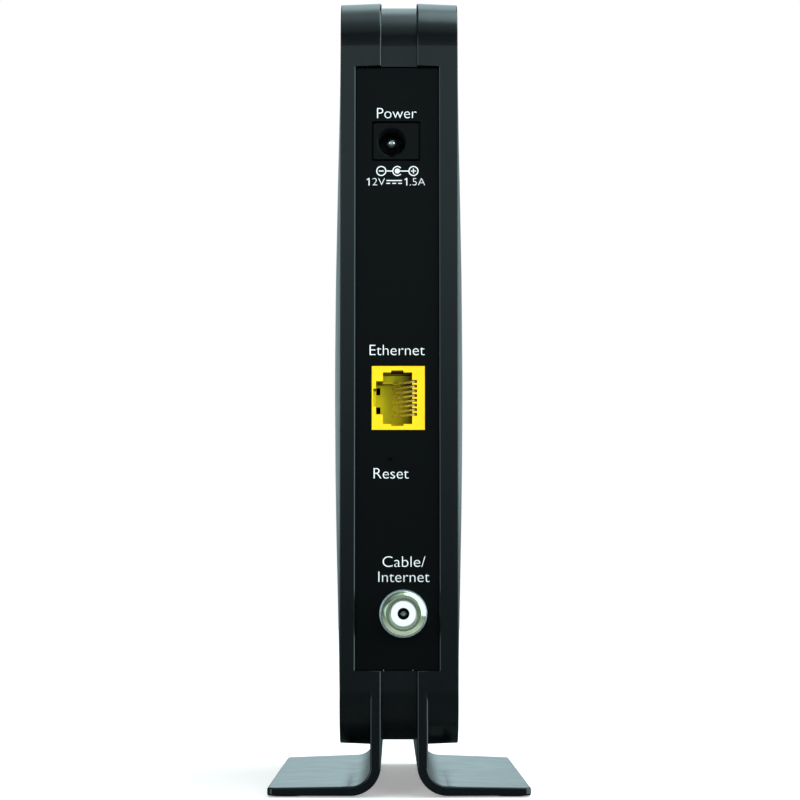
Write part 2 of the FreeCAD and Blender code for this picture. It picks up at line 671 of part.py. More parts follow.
def ethernet_contacts():
    """Each wire rises from the board, runs forward under the floor, and turns back up into the cavity."""
    wires = []
    face = ETHERNET_FACE_Y
    for contact_z, lead_y in contact_places():
        route = [
            (-1.3, face + 8.8), (2.9, face + 1.15), (3.25, face + 0.85), (3.58, face + 1.15),
            (3.58, lead_y), (LEAD_END_X, lead_y),
        ]
        wires.append(bent_strip(route, 0.3, contact_z - 0.22, contact_z + 0.22))
    return Part.makeCompound(wires)


# ---- coaxial connector --------------------------------------------------------------------------
COAX_TIP_Y = REAR_Y - CONNECTOR_REACH
COLLAR_TIP_Y = REAR_Y + 0.6
COAX_BLOCK_Y = (REAR_Y + 4.05, REAR_Y + 17.0)
COAX_BLOCK_HALF = 5.0
BARREL_BORE = 2.8
LIP_RADIUS = 3.75             # the barrel's flat front lip ends here, where the bevel starts
BEVEL_RADIUS = 4.6
THREAD_START = 1.0
INSULATOR_GAP = 0.03
CENTRE_RADIUS = 0.72
COAX_POSTS = [(COAX_BLOCK_Y[0] + 2.2, COAX_Z - 3.4), (COAX_BLOCK_Y[0] + 2.2, COAX_Z + 3.4),
              (COAX_BLOCK_Y[1] - 2.0, COAX_Z - 3.4), (COAX_BLOCK_Y[1] - 2.0, COAX_Z + 3.4)]
COAX_PIN_LEAD = (COAX_BLOCK_Y[1] - 4.5, COAX_Z)


def coax_barrel():
    """Threaded nickel barrel with a collar: crests and roots are rings, one per pitch."""
    depth = 0.45
    crest = 0.12
    profile = [(BARREL_BORE, COAX_BLOCK_Y[0] + 3.0), (BARREL_BORE, COAX_TIP_Y + 0.15)]
    profile += [(BARREL_BORE + 0.15, COAX_TIP_Y), (LIP_RADIUS, COAX_TIP_Y)]
    profile += [(BEVEL_RADIUS, COAX_TIP_Y + BEVEL_RADIUS - LIP_RADIUS)]
    y = COAX_TIP_Y + THREAD_START
    profile.append((THREAD_RADIUS, y))
    count = int((COLLAR_TIP_Y - 0.9 - y) / THREAD_PITCH)
    for i in range(count):
        start = y + i * THREAD_PITCH
        profile += [
            (THREAD_RADIUS, start + crest),
            (THREAD_RADIUS - depth, start + THREAD_PITCH / 2),
            (THREAD_RADIUS - depth, start + THREAD_PITCH / 2 + crest),
            (THREAD_RADIUS, start + THREAD_PITCH),
        ]
    end = y + count * THREAD_PITCH
    profile += [(THREAD_RADIUS, end + crest), (THREAD_RADIUS - 0.5, end + 0.5)]
    profile += [(THREAD_RADIUS - 0.5, COLLAR_TIP_Y), (COLLAR_RADIUS - 0.2, COLLAR_TIP_Y)]
    profile += [(COLLAR_RADIUS, COLLAR_TIP_Y + 0.2), (COLLAR_RADIUS, COAX_BLOCK_Y[0] - 0.05)]
    profile += [(3.7, COAX_BLOCK_Y[0] - 0.05), (3.7, COAX_BLOCK_Y[0] + 3.0)]
    return revolved_y(profile, COAX_X, COAX_Z)


def coax_block():
    """Die-cast foot of the connector, which holds the barrel and stands on the board on four posts."""
    y0, y1 = COAX_BLOCK_Y
    block = rounded_block(
        COAX_X - COAX_BLOCK_HALF, BOARD_X, y0, y1, COAX_Z - COAX_BLOCK_HALF, COAX_Z + COAX_BLOCK_HALF,
        0.6, Vector(0, 1, 0),
    )
    cutters = [
        rod_y(3.73, COAX_X, y0 - 1, y0 + 3.03, COAX_Z),
        rod_y(BARREL_BORE, COAX_X, y0, y1 - 2.0, COAX_Z),
        box(COAX_X, BOARD_X + 1, COAX_PIN_LEAD[0] - 0.9, COAX_PIN_LEAD[0] + 0.9, COAX_Z - 0.9, COAX_Z + 0.9),
    ]
    posts = [rod_x(0.6, BOARD_X - 0.5, LEAD_END_X, y, z) for y, z in COAX_POSTS]
    return fuse_all([cut_all(block, cutters)] + posts)


def coax_insulator():
    front = COAX_TIP_Y + 0.25
    profile = [
        (1.2, front + 5.5), (1.2, front + 0.1), (1.3, front),
        (BARREL_BORE - INSULATOR_GAP - 0.15, front), (BARREL_BORE - INSULATOR_GAP, front + 0.15),
        (BARREL_BORE - INSULATOR_GAP, COAX_BLOCK_Y[0] + 6.0),
        (CENTRE_RADIUS + INSULATOR_GAP, COAX_BLOCK_Y[0] + 6.0), (CENTRE_RADIUS + INSULATOR_GAP, front + 5.5),
    ]
    return revolved_y(profile, COAX_X, COAX_Z)


def coax_contact():
    """Split centre contact: a tube that grips the cable's wire, with a pin that turns down to the board."""
    front = COAX_TIP_Y + 1.4
    back = COAX_PIN_LEAD[0]
    tube = revolved_y(
        [
            (0.5, front + 0.25), (0.61, front), (CENTRE_RADIUS, front + 0.2), (CENTRE_RADIUS, back),
            (0, back), (0, front + 6.5), (0.5, front + 6.5),
        ],
        COAX_X, COAX_Z,
    )
    slit = box(COAX_X - 2, COAX_X + 2, front - 1, front + 4.5, COAX_Z - 0.12, COAX_Z + 0.12)
    pin = rod_x(LEAD_RADIUS, COAX_X, LEAD_END_X, back, COAX_Z)
    return fuse_all([tube.cut(slit), pin])


# ---- reset switch -------------------------------------------------------------------------------
SWITCH_FRONT_Y = REAR_Y + 7.2
SWITCH_BACK_Y = REAR_Y + 11.4
STEM_RADIUS = 1.7
STEM_FLANGE_RADIUS = 2.4
SWITCH_LEADS = [(SWITCH_BACK_Y - 1.0, RESET_Z - 2.2), (SWITCH_BACK_Y - 1.0, RESET_Z + 2.2)]


def reset_switch_body():
    y0, y1 = SWITCH_FRONT_Y, SWITCH_BACK_Y
    head = rounded_block(
        RESET_X - 3.1, RESET_X + 3.1, y0, y1, RESET_Z - 3.1, RESET_Z + 3.1, 0.4, Vector(0, 1, 0)
    )
    stand = box(RESET_X + 3.0, BOARD_X, y0 + 1.0, y1, RESET_Z - 3.1, RESET_Z + 3.1)
    cutters = [
        rod_y(STEM_RADIUS + 0.05, RESET_X, y0 - 1, y0 + 1, RESET_Z),
        rod_y(STEM_FLANGE_RADIUS + 0.15, RESET_X, y0 + 0.6, y1 - 0.6, RESET_Z),
    ]
    return fuse_all([cut_all(fuse_all([head, stand]), cutters)] + leads(SWITCH_LEADS, BOARD_X - 0.5))


def reset_plunger():
    y0 = SWITCH_FRONT_Y
    profile = [
        (0, y0 - 2.6), (STEM_RADIUS - 0.3, y0 - 2.6), (STEM_RADIUS, y0 - 2.3), (STEM_RADIUS, y0 + 0.65),
        (STEM_FLANGE_RADIUS, y0 + 0.65), (STEM_FLANGE_RADIUS, y0 + 1.4), (0.8, y0 + 1.4), (0.8, y0 + 1.8),
        (0, y0 + 1.8),
    ]
    return revolved_y(profile, RESET_X, RESET_Z)


def reset_dome():
    """Sprung metal disc that the plunger snaps, drawn clear of the plunger's whole travel."""
    edge_y = SWITCH_BACK_Y - 0.65
    rise = 0.7
    radius = 2.3
    sphere = (radius ** 2 + rise ** 2) / (2 * rise)
    centre = Vector(RESET_X, edge_y - rise + sphere, RESET_Z)
    cap = Part.makeSphere(sphere, centre).cut(Part.makeSphere(sphere - 0.15, centre))
    return cap.common(rod_y(radius, RESET_X, edge_y - rise - 1, edge_y, RESET_Z))


# ---- board and what is on it --------------------------------------------------------------------
SOC_Y = MID_Y + 12.0
SOC_Z = 100.0
SOC_SIZE = 23.0
SOC_HEIGHT = 1.4
THERMAL_PAD = 0.5
SINK_HALF = 19.0
SINK_BASE = 2.0
SINK_FIN = 6.5
SINK_FIN_COUNT = 10
SINK_FIN_WIDTH = 1.1
SINK_PINS = [(SOC_Y - 15.5, SOC_Z + 15.5), (SOC_Y + 15.5, SOC_Z - 15.5)]
TUNER_Y = (REAR_Y + 22.0, REAR_Y + 50.0)
TUNER_Z = (36.5, 60.5)
TUNER_HEIGHT = 4.0
CAPACITORS = [
    (REAR_Y + 27.0, 133.0, 3.15, 8.0),
    (REAR_Y + 27.0, 143.0, 3.15, 8.0),
    (REAR_Y + 36.0, 138.0, 4.0, 9.5),
]
INDUCTORS = [(REAR_Y + 40.0, 151.0), (REAR_Y + 50.0, 151.0)]


def all_lead_holes():
    """Place and radius of every plated hole in the board."""
    holes = [(y, z, LEAD_RADIUS) for y, z in POWER_LEADS[1:] + SWITCH_LEADS + [COAX_PIN_LEAD]]
    holes.append((POWER_BACK_Y + 0.35, POWER_Z, 0.5))
    holes += [(y, z, 0.8) for y, z in ETHERNET_PEGS]
    holes += [(lead_y, z, 0.25) for z, lead_y in contact_places()]
    holes += [(y, z, 0.6) for y, z in COAX_POSTS]
    holes += [(y, z, 1.3) for y, z in SINK_PINS]
    return holes


def main_board():
    board = rounded_block(
        BOARD_X, BOARD_X + BOARD_THICKNESS, BOARD_BACK_Y, BOARD_FRONT_Y, BOARD_BOTTOM, BOARD_TOP,
        2.0, Vector(1, 0, 0),
    )
    holes = [rod_x(SHANK_RADIUS + 0.25, 0, REACH_X, y, z) for y, z in BOARD_HOLES]
    holes += [rod_x(r + LEAD_GAP, 0, REACH_X, y, z) for y, z, r in all_lead_holes()]
    return cut_all(board, holes)


def board_screws():
    return Part.makeCompound([screw(BOARD_X, y, z, 4.4) for y, z in BOARD_HOLES])


def chip(y, z, width, depth, height):
    """Flat package on the board's component side, with bevelled upper edges."""
    package = box(BOARD_X - height, BOARD_X, y - depth / 2, y + depth / 2, z - width / 2, z + width / 2)
    top = [e for e in package.Edges if e.BoundBox.XMax < BOARD_X - height + 0.01]
    return package.makeChamfer(0.2, top)


def thermal_pad():
    top = BOARD_X - SOC_HEIGHT
    return box(top - THERMAL_PAD, top, SOC_Y - 10, SOC_Y + 10, SOC_Z - 10, SOC_Z + 10)


def heat_sink():
    top = BOARD_X - SOC_HEIGHT - THERMAL_PAD
    z0, z1 = SOC_Z - SINK_HALF, SOC_Z + SINK_HALF
    base = box(top - SINK_BASE, top, SOC_Y - SINK_HALF, SOC_Y + SINK_HALF, z0, z1)
    pieces = [base]
    step = (2 * SINK_HALF - SINK_FIN_WIDTH) / (SINK_FIN_COUNT - 1)
    for i in range(SINK_FIN_COUNT):
        y = SOC_Y - SINK_HALF + i * step
        pieces.append(box(top - SINK_BASE - SINK_FIN, top - SINK_BASE, y, y + SINK_FIN_WIDTH, z0, z1))
    sink = fuse_all(pieces)
    cutters = []
    for y, z in SINK_PINS:
        cutters.append(rod_x(3.0, top - SINK_BASE - SINK_FIN - 1, top - SINK_BASE, y, z))
        cutters.append(rod_x(1.45, top - SINK_BASE - 1, top + 1, y, z))
    return cut_all(sink, cutters)


def heat_sink_pins():
    """Push pins: a head on the sink, a shaft through the board, and a barb behind it."""
    top = BOARD_X - SOC_HEIGHT - THERMAL_PAD - SINK_BASE
    back = BOARD_X + BOARD_THICKNESS
    pins = []
    for y, z in SINK_PINS:
        head = rod_x(2.5, top - 1.6, top, y, z)
        shaft = rod_x(1.3, top, back + 0.1, y, z)
        barb = Part.makeCone(1.9, 0.9, 1.8, Vector(back + 0.1, y, z), Vector(1, 0, 0))
        pins.append(fuse_all([head, shaft, barb]))
    return Part.makeCompound(pins)


def tuner_shield_frame():
    y0, y1 = TUNER_Y
    z0, z1 = TUNER_Z
    wall = 0.3
    ring = box(BOARD_X - TUNER_HEIGHT, BOARD_X, y0, y1, z0, z1)
    ring = ring.cut(box(BOARD_X - TUNER_HEIGHT - 1, BOARD_X + 1, y0 + wall, y1 - wall, z0 + wall, z1 - wall))
    middle = (y0 + y1) / 2
    divider = box(BOARD_X - TUNER_HEIGHT, BOARD_X, middle - wall / 2, middle + wall / 2, z0, z1)
    return ring.fuse(divider).removeSplitter()


def tuner_shield_lid():
    """Lid over the frame, with a short skirt outside it and rows of small holes."""
    y0, y1 = TUNER_Y
    z0, z1 = TUNER_Z
    gap, wall, skirt = 0.05, 0.25, 2.0
    top = BOARD_X - TUNER_HEIGHT
    outer = box(top - wall, top + skirt, y0 - gap - wall, y1 + gap + wall, z0 - gap - wall, z1 + gap + wall)
    lid = outer.cut(box(top, top + skirt + 1, y0 - gap, y1 + gap, z0 - gap, z1 + gap))
    holes = []
    for i in range(6):
        for j in range(5):
            holes.append(rod_x(0.6, top - 1, top + 0.5, y0 + 4 + 4 * i, z0 + 4 + 4 * j))
    return cut_all(lid, holes)


def crystal():
    return rounded_block(
        BOARD_X - 1.0, BOARD_X, SOC_Y - 30, SOC_Y - 25, SOC_Z + 6, SOC_Z + 9.2, 0.5, Vector(1, 0, 0)
    )


def capacitors():
    """Aluminium cans that stand on the board, each on a square base."""
    cans = []
    for y, z, radius, height in CAPACITORS:
        base = box(BOARD_X - 1.2, BOARD_X, y - radius, y + radius, z - radius, z + radius)
        can = rod_x(radius, BOARD_X - height, BOARD_X - 1.0, y, z)
        top = [e for e in can.Edges if e.BoundBox.XMax < BOARD_X - height + 0.01]
        cans.append(fuse_all([base, can.makeFillet(0.5, top)]))
    return Part.makeCompound(cans)


def inductors():
    coils = []
    for y, z in INDUCTORS:
        coils.append(
            rounded_block(BOARD_X - 3.2, BOARD_X, y - 3.2, y + 3.2, z - 3.2, z + 3.2, 0.8, Vector(1, 0, 0))
        )
    return Part.makeCompound(coils)


def small_passives():
    """Rows of chip resistors and capacitors beside the processor and the tuner."""
    parts = []
    for column in range(2):
        for i in range(8):
            y = SOC_Y + (26.5 if column else -26.5 + 3.2)
            z = SOC_Z - 24.0 + 4.0 * i - 8.0 * column
            parts.append(box(BOARD_X - 0.7, BOARD_X, y - 0.5, y + 0.5, z - 0.9, z + 0.9))
    for i in range(6):
        y = TUNER_Y[1] + 4.0 + 3.0 * i
        parts.append(box(BOARD_X - 0.7, BOARD_X, y - 0.5, y + 0.5, 47.0, 48.8))
    return Part.makeCompound(parts)


# ---- the whole object ---------------------------------------------------------------------------
def nodes():
    return {
        "left_shell": shell(-1),
        "right_shell": shell(1),
        "centre_band": centre_band(),
        "rear_panel": rear_panel(),
        "front_lens": front_lens(),
        "light_guide": light_guide(),
        "left_foot_pads": foot_pads(-1),
        "right_foot_pads": foot_pads(1),
        "main_board": main_board(),
        "board_screws": board_screws(),
        "ethernet_jack": ethernet_jack(),
        "ethernet_insert": ethernet_insert(),
        "ethernet_contacts": ethernet_contacts(),
        "dc_jack_housing": dc_jack_housing(),
        "dc_jack_pin": dc_jack_pin(),
        "dc_jack_spring": dc_jack_spring(),
        "coax_barrel": coax_barrel(),
        "coax_block": coax_block(),
        "coax_insulator": coax_insulator(),
        "coax_contact": coax_contact(),
        "reset_switch_body": reset_switch_body(),
        "reset_plunger": reset_plunger(),
        "reset_dome": reset_dome(),
        "soc_chip": chip(SOC_Y, SOC_Z, SOC_SIZE, SOC_SIZE, SOC_HEIGHT),
        "thermal_pad": thermal_pad(),
        "heat_sink": heat_sink(),
        "heat_sink_pins": heat_sink_pins(),
        "memory_chip": chip(SOC_Y, SOC_Z + 32.0, 9.0, 13.0, 1.1),
        "flash_chip": chip(SOC_Y + 22.0, SOC_Z + 34.0, 6.0, 8.0, 1.6),
        "ethernet_transformer": chip(REAR_Y + 27.0, ETHERNET_Z, 15.0, 12.0, 5.5),
        "tuner_shield_frame": tuner_shield_frame(),
        "tuner_shield_lid": tuner_shield_lid(),
        "tuner_chip": chip(TUNER_Y[0] + 7.0, 48.5, 8.0, 8.0, 1.0),
        "crystal": crystal(),
        "capacitors": capacitors(),
        "inductors": inductors(),
        "status_leds": status_leds(),
        "small_passives": small_passives(),
    }


def main():
    os.makedirs("parts", exist_ok=True)
    for name, shape in nodes().items():
        shape.exportStep(os.path.join("parts", name + ".step"))
        print(f"{name:22s} solids {len(shape.Solids):3d} valid {shape.isValid()} volume {shape.Volume:10.1f}")


if __name__ == "__main__":
    main()
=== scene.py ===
"""Cable modem: finishes, printed marks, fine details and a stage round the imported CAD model.

Laid out as an add-on: settings first, then the shared makers of materials and meshes, then one operator
for each piece or group of like pieces. Everything is in metres, in the CAD model's own frame.
"""

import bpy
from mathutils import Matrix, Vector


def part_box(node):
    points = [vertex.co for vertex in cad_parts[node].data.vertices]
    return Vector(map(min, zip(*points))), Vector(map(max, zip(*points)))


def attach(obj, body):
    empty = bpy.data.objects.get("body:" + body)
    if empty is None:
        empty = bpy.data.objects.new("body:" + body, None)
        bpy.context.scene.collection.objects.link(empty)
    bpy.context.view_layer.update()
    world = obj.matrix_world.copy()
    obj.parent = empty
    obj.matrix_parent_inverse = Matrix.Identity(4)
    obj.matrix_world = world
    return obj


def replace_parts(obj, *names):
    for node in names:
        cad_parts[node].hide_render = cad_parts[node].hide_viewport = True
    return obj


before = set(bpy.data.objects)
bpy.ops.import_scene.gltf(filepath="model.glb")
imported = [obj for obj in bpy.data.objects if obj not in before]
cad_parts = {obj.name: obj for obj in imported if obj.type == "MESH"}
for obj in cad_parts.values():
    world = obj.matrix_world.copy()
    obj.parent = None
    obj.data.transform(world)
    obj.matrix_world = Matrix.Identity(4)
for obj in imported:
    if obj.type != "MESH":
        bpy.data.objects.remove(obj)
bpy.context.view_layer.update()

import math

import bmesh
import bpy
from bpy.props import FloatProperty, FloatVectorProperty, IntProperty, PointerProperty
from bpy.types import Operator, Panel, PropertyGroup
from mathutils import Matrix, Vector

bl_info = {
    "name": "Cable modem",
    "version": (1, 0, 0),
    "blender": (4, 5, 0),
    "location": "View3D > Sidebar > Modem",
    "description": "Finishes, printed marks and fine details of an upright cable modem",
    "category": "Object",
}

MM = 0.001

# The studio: brightness by elevation, in degrees, on the ports' side and on the far side, then soft panels,
# each an axis, the cosine inside which it is full, the cosine where it ends, its brightness, and how far
# it reaches towards the ports' side and away from it.
PEAK = 4.0                        # brightness that a colour of 1 in the world stands for
AMBIENT = (0.41, 0.42, 0.42)
STUDIO_TINT = (0.74, 1.0, 1.05)
FRONT_BANDS = [
    (-90, 0.04), (-74, 0.04), (-70, 0.10), (-3, 0.06), (-1, 0.07), (0.5, 0.13), (2.3, 0.23), (4.4, 0.34),
    (6.6, 0.52), (8.7, 0.68), (10.8, 0.83), (13.0, 0.78), (17, 0.48), (23, 0.16), (41.5, 0.08),
    (43.5, 0.26), (54, 0.42), (64, 0.58), (69, 0.70), (74, 0.95), (80, 1.10), (90, 1.25),
]
BACK_BANDS = [
    (-90, 0.02), (-6, 0.02), (-1, 0.2), (1.2, 0.45), (3, 0.90), (5, 0.88), (8, 0.68), (12, 0.85), (25, 1.0),
    (45, 1.6), (58, 2.6), (65, 2.5), (71, 1.95), (79, 1.45), (84, 1.15), (90, 1.25),
]
PANELS = [
    ((-0.80, -0.60, 0.15), 0.965, 0.90, 1.8, 2.0),
    ((0.80, -0.60, 0.20), 0.965, 0.90, 3.2, 2.0),
    ((0.76, 0.0, 0.65), 0.70, 0.66, 3.6, 0.42),
]
PANEL_EDGE = 0.12                 # softness of a panel's ends towards the ports' side and away from it
SOFTBOX_AIM = (0.0, 0.0, 0.085)   # the middle of the object


# ---- settings -----------------------------------------------------------------------------------
def colour_setting(name, description, default):
    return FloatVectorProperty(
        name=name, description=description, default=default, size=3, min=0.0, max=1.0, subtype="COLOR"
    )


def length_setting(name, description, default):
    return FloatProperty(name=name, description=description, default=default, unit="LENGTH", precision=5)


def factor_setting(name, description, default):
    return FloatProperty(
        name=name, description=description, default=default, min=0.0, max=1.0, subtype="FACTOR"
    )


class ModemFinishes(PropertyGroup):
    """Colours and gloss of the mouldings and the metal."""

    shell: colour_setting("Shell", "Black of the two side shells", (0.0022, 0.0030, 0.0034))
    shell_gloss: factor_setting("Shell roughness", "Roughness of the satin shells", 0.17)
    band: colour_setting("Band", "Black of the centre band", (0.0022, 0.0029, 0.0033))
    panel: colour_setting("Rear panel", "Black of the port panel", (0.0006, 0.0009, 0.0011))
    panel_gloss: factor_setting("Panel roughness", "Roughness of the fine-grained port panel", 0.30)
    inlet: colour_setting("Power inlet", "Black of the power inlet's housing", (0.0022, 0.0028, 0.0031))
    jack: colour_setting("Network jack", "Yellow of the network jack's moulding", (0.84, 0.56, 0.006))
    # Painted light: the jack's cavity walls get a lighter, greener yellow for how the light inside the cavity
    # looks, not a second plastic.
    jack_inside_painted_light: colour_setting(
        "Network jack inside", "Its deeper yellow behind the face", (0.92, 0.84, 0.004)
    )
    # Painted shade: a near-black yellow painted into the right side of the jack's cavity, where shade falls.
    jack_painted_shade: colour_setting("Network jack shade", "Its deepest corners", (0.10, 0.085, 0.004))
    insulator: colour_setting("Insulator", "White of the coaxial port's insulator", (0.66, 0.70, 0.70))
    nickel: colour_setting("Nickel", "Plating of the coaxial barrel", (0.40, 0.47, 0.33))
    collar: colour_setting("Collar", "Cooler steel of the coaxial barrel's collar", (0.40, 0.48, 0.54))
    pin: colour_setting("Pin", "Bright plating of the power inlet's pin", (0.90, 0.93, 0.91))
    gold: colour_setting("Gold", "Plating of the contacts", (0.92, 0.72, 0.30))
    print_white: colour_setting("Print", "White of the printed marks", (0.72, 0.77, 0.78))
    rubber: colour_setting("Rubber", "Black of the foot pads", (0.008, 0.008, 0.009))
    board: colour_setting("Board", "Green of the board's solder mask", (0.010, 0.085, 0.035))


class ModemMarks(PropertyGroup):
    """Sizes of what is printed beside the ports and on the front lens."""

    cap_height: length_setting("Cap height", "Height of the printed capitals", 2.3 * MM)
    rating_height: length_setting("Rating height", "Height of the figures under the power inlet", 1.62 * MM)
    ink: length_setting("Ink thickness", "How far the print stands on the panel", 0.02 * MM)
    weight: length_setting("Stroke", "How much lighter than the plain font the strokes are", 0.046 * MM)
    ring_radius: length_setting("Symbol radius", "Outer radius of the polarity symbol's rings", 1.1 * MM)
    symbol_pitch: length_setting("Symbol pitch", "Distance between the polarity symbol's rings", 3.5 * MM)
    icon_radius: length_setting("Icon radius", "Size of the signs on the front lens", 1.35 * MM)


class ModemThread(PropertyGroup):
    """The coaxial barrel's screw thread."""

    pitch: length_setting("Pitch", "Rise of the thread in one turn", 25.4 / 32 * MM)
    crest_radius: length_setting("Crest radius", "Outer radius of the thread", 4.7625 * MM)
    depth: length_setting("Depth", "Depth of the groove between crests", 0.42 * MM)
    columns: IntProperty(name="Columns", description="Faces round the barrel", default=96, min=24, max=256)
    rows_per_pitch: IntProperty(name="Rows", description="Faces along one pitch", default=14, min=6, max=32)


class ModemStage(PropertyGroup):
    """Floor, lights and camera."""

    floor: colour_setting("Floor", "Pale floor", (0.93, 0.93, 0.93))
    softbox_power: FloatProperty(
        name="Softboxes", description="Power of each side softbox", default=4.2, unit="POWER"
    )
    top_power: FloatProperty(
        name="Top light", description="Power of the overhead softbox", default=7.0, unit="POWER"
    )
    lens: FloatProperty(name="Lens", description="Camera's focal length, mm", default=118.61, min=10, max=300)
    camera_place: FloatVectorProperty(
        name="Camera", description="Where the camera stands", default=(-0.001222, -0.622694, 0.040844),
        size=3, unit="LENGTH", subtype="TRANSLATION", precision=5,
    )
    camera_pitch: FloatProperty(
        name="Pitch", description="How far the camera looks up", default=0.0778, unit="ROTATION"
    )
    camera_yaw: FloatProperty(
        name="Yaw", description="How far the camera looks to the right", default=0.0025, unit="ROTATION"
    )


SETTINGS = {
    "modem_finishes": ModemFinishes,
    "modem_marks": ModemMarks,
    "modem_thread": ModemThread,
    "modem_stage": ModemStage,
}


# ---- shader makers ------------------------------------------------------------------------------
class Finish:
    """A material with short calls for the nodes that its finish is made of."""

    def __init__(self, name, colour, roughness, metallic=0.0):
        self.material = bpy.data.materials.new(name)
        self.material.use_nodes = True
        self.nodes = self.material.node_tree.nodes
        self.links = self.material.node_tree.links
        self.shader = self.nodes["Principled BSDF"]
        self.place = self.nodes.new("ShaderNodeTexCoord").outputs["Object"]
        self.normal = None
        self.set("Base Color", (*colour, 1.0))
        self.set("Roughness", roughness)
        self.set("Metallic", metallic)
        self.material.diffuse_color = (*colour, 1.0)

    def set(self, socket, value):
        self.shader.inputs[socket].default_value = value
        return self

    def link(self, output, socket):
        self.links.new(output, socket)

    def stretched(self, scale):
        """Object coordinates squeezed by a factor on each axis."""
        node = self.nodes.new("ShaderNodeMapping")
        node.inputs["Scale"].default_value = scale
        self.link(self.place, node.inputs["Vector"])
        return node.outputs["Vector"]

    def noise(self, size, detail=2.0, place=None, distortion=0.0):
        """Noise whose blotches are about size metres across."""
        node = self.nodes.new("ShaderNodeTexNoise")
        node.inputs["Scale"].default_value = 1.0 / size
        node.inputs["Detail"].default_value = detail
        node.inputs["Distortion"].default_value = distortion
        self.link(place or self.place, node.inputs["Vector"])
        return node.outputs["Fac"]

    def cells(self, size, feature="F1", place=None):
        node = self.nodes.new("ShaderNodeTexVoronoi")
        node.feature = feature
        node.inputs["Scale"].default_value = 1.0 / size
        self.link(place or self.place, node.inputs["Vector"])
        return node.outputs["Distance"]

    def spread(self, value, low, high, start=0.3, end=0.7):
        """Value between start and end, carried to the range from low to high."""
        node = self.nodes.new("ShaderNodeMapRange")
        node.inputs["From Min"].default_value = start
        node.inputs["From Max"].default_value = end
        node.inputs["To Min"].default_value = low
        node.inputs["To Max"].default_value = high
        self.link(value, node.inputs["Value"])
        return node.outputs["Result"]

    def blend(self, factor, first, second):
        """Colour between first and second, each a colour or a socket."""
        node = self.nodes.new("ShaderNodeMix")
        node.data_type = "RGBA"
        self.link(factor, node.inputs["Factor"])
        for socket, value in ((node.inputs[6], first), (node.inputs[7], second)):
            if isinstance(value, bpy.types.NodeSocket):
                self.link(value, socket)
            else:
                socket.default_value = (*value[:3], 1.0)
        return node.outputs[2]

    def clouded(self, amount, size):
        """Slow variation of the base colour, lighter and darker by amount."""
        colour = self.shader.inputs["Base Color"].default_value[:3]
        darker = [c * (1 - amount) for c in colour]
        lighter = [min(1.0, c * (1 + amount)) for c in colour]
        factor = self.spread(self.noise(size, 3.0), 0.0, 1.0)
        self.link(self.blend(factor, darker, lighter), self.shader.inputs["Base Color"])
        return self

    def uneven_gloss(self, amount, size):
        """Roughness that drifts by amount either way, with a finer mottle in it."""
        middle = self.shader.inputs["Roughness"].default_value
        low, high = max(0.02, middle - amount), min(1.0, middle + amount)
        gloss = self.spread(self.noise(size, 5.0), low, high)
        self.link(gloss, self.shader.inputs["Roughness"])
        return self

    def along(self, axis, start, end):
        """Factor that goes from 0 to 1 between two places on one axis."""
        split = self.nodes.new("ShaderNodeSeparateXYZ")
        self.link(self.place, split.inputs["Vector"])
        return self.spread(split.outputs[axis], 0.0, 1.0, start, end)

    def facing_down(self):
        """Factor that is 1 on undersides and 0 elsewhere, used to paint shade under things."""
        split = self.nodes.new("ShaderNodeSeparateXYZ")
        self.link(self.nodes.new("ShaderNodeNewGeometry").outputs["Normal"], split.inputs["Vector"])
        return self.spread(split.outputs["Z"], 1.0, 0.0, -0.8, -0.4)

    def both(self, first, second):
        node = self.nodes.new("ShaderNodeMath")
        node.operation = "MULTIPLY"
        self.link(first, node.inputs[0])
        self.link(second, node.inputs[1])
        return node.outputs[0]

    def turned_to(self, colour, factor):
        """Turns the base colour into another one where the factor is 1."""
        base = self.shader.inputs["Base Color"]
        self.link(self.blend(factor, base.links[0].from_socket, colour), base)
        return self

    def bore_painted_shade(self, x, z, radius):
        """Paints shade: blackens what lies within a radius of a line along Y, such as the wall of a deep hole
        where shade falls.
        """
        offset = self.nodes.new("ShaderNodeMapping")
        offset.inputs["Location"].default_value = (-x, 0.0, -z)
        offset.inputs["Scale"].default_value = (1.0, 0.0, 1.0)
        self.link(self.place, offset.inputs["Vector"])
        away = self.nodes.new("ShaderNodeVectorMath")
        away.operation = "LENGTH"
        self.link(offset.outputs["Vector"], away.inputs[0])
        factor = self.spread(away.outputs["Value"], 1.0, 0.0, radius, radius + 0.06 * MM)
        return self.turned_to((0.002, 0.002, 0.002), factor)

    def bump(self, height, depth, strength=1.0):
        """Adds a relief of depth metres on top of any relief before it."""
        node = self.nodes.new("ShaderNodeBump")
        node.inputs["Strength"].default_value = strength
        node.inputs["Distance"].default_value = depth
        self.link(height, node.inputs["Height"])
        if self.normal:
            self.link(self.normal, node.inputs["Normal"])
        self.normal = node.outputs["Normal"]
        self.link(self.normal, self.shader.inputs["Normal"])
        return self


def satin_moulding(name, colour, roughness, grain, grain_size):
    """Injection moulding: even colour, a slow drift of gloss and the tool's spark-eroded grain."""
    finish = Finish(name, colour, roughness)
    finish.clouded(0.07, 30 * MM).uneven_gloss(0.015, 8 * MM)
    finish.bump(finish.noise(grain_size, 3.0), grain)
    return finish


def coloured_moulding(name, colour, roughness, glow):
    """Bright translucent plastic that lets a little light in under its skin."""
    finish = Finish(name, colour, roughness)
    finish.set("Subsurface Weight", glow)
    finish.set("Subsurface Radius", (1.0, 0.7, 0.3))
    finish.set("Subsurface Scale", 0.6 * MM)
    finish.clouded(0.03, 4 * MM).uneven_gloss(0.05, 2 * MM)
    finish.bump(finish.noise(0.25 * MM, 2.0), 0.004 * MM)
    return finish


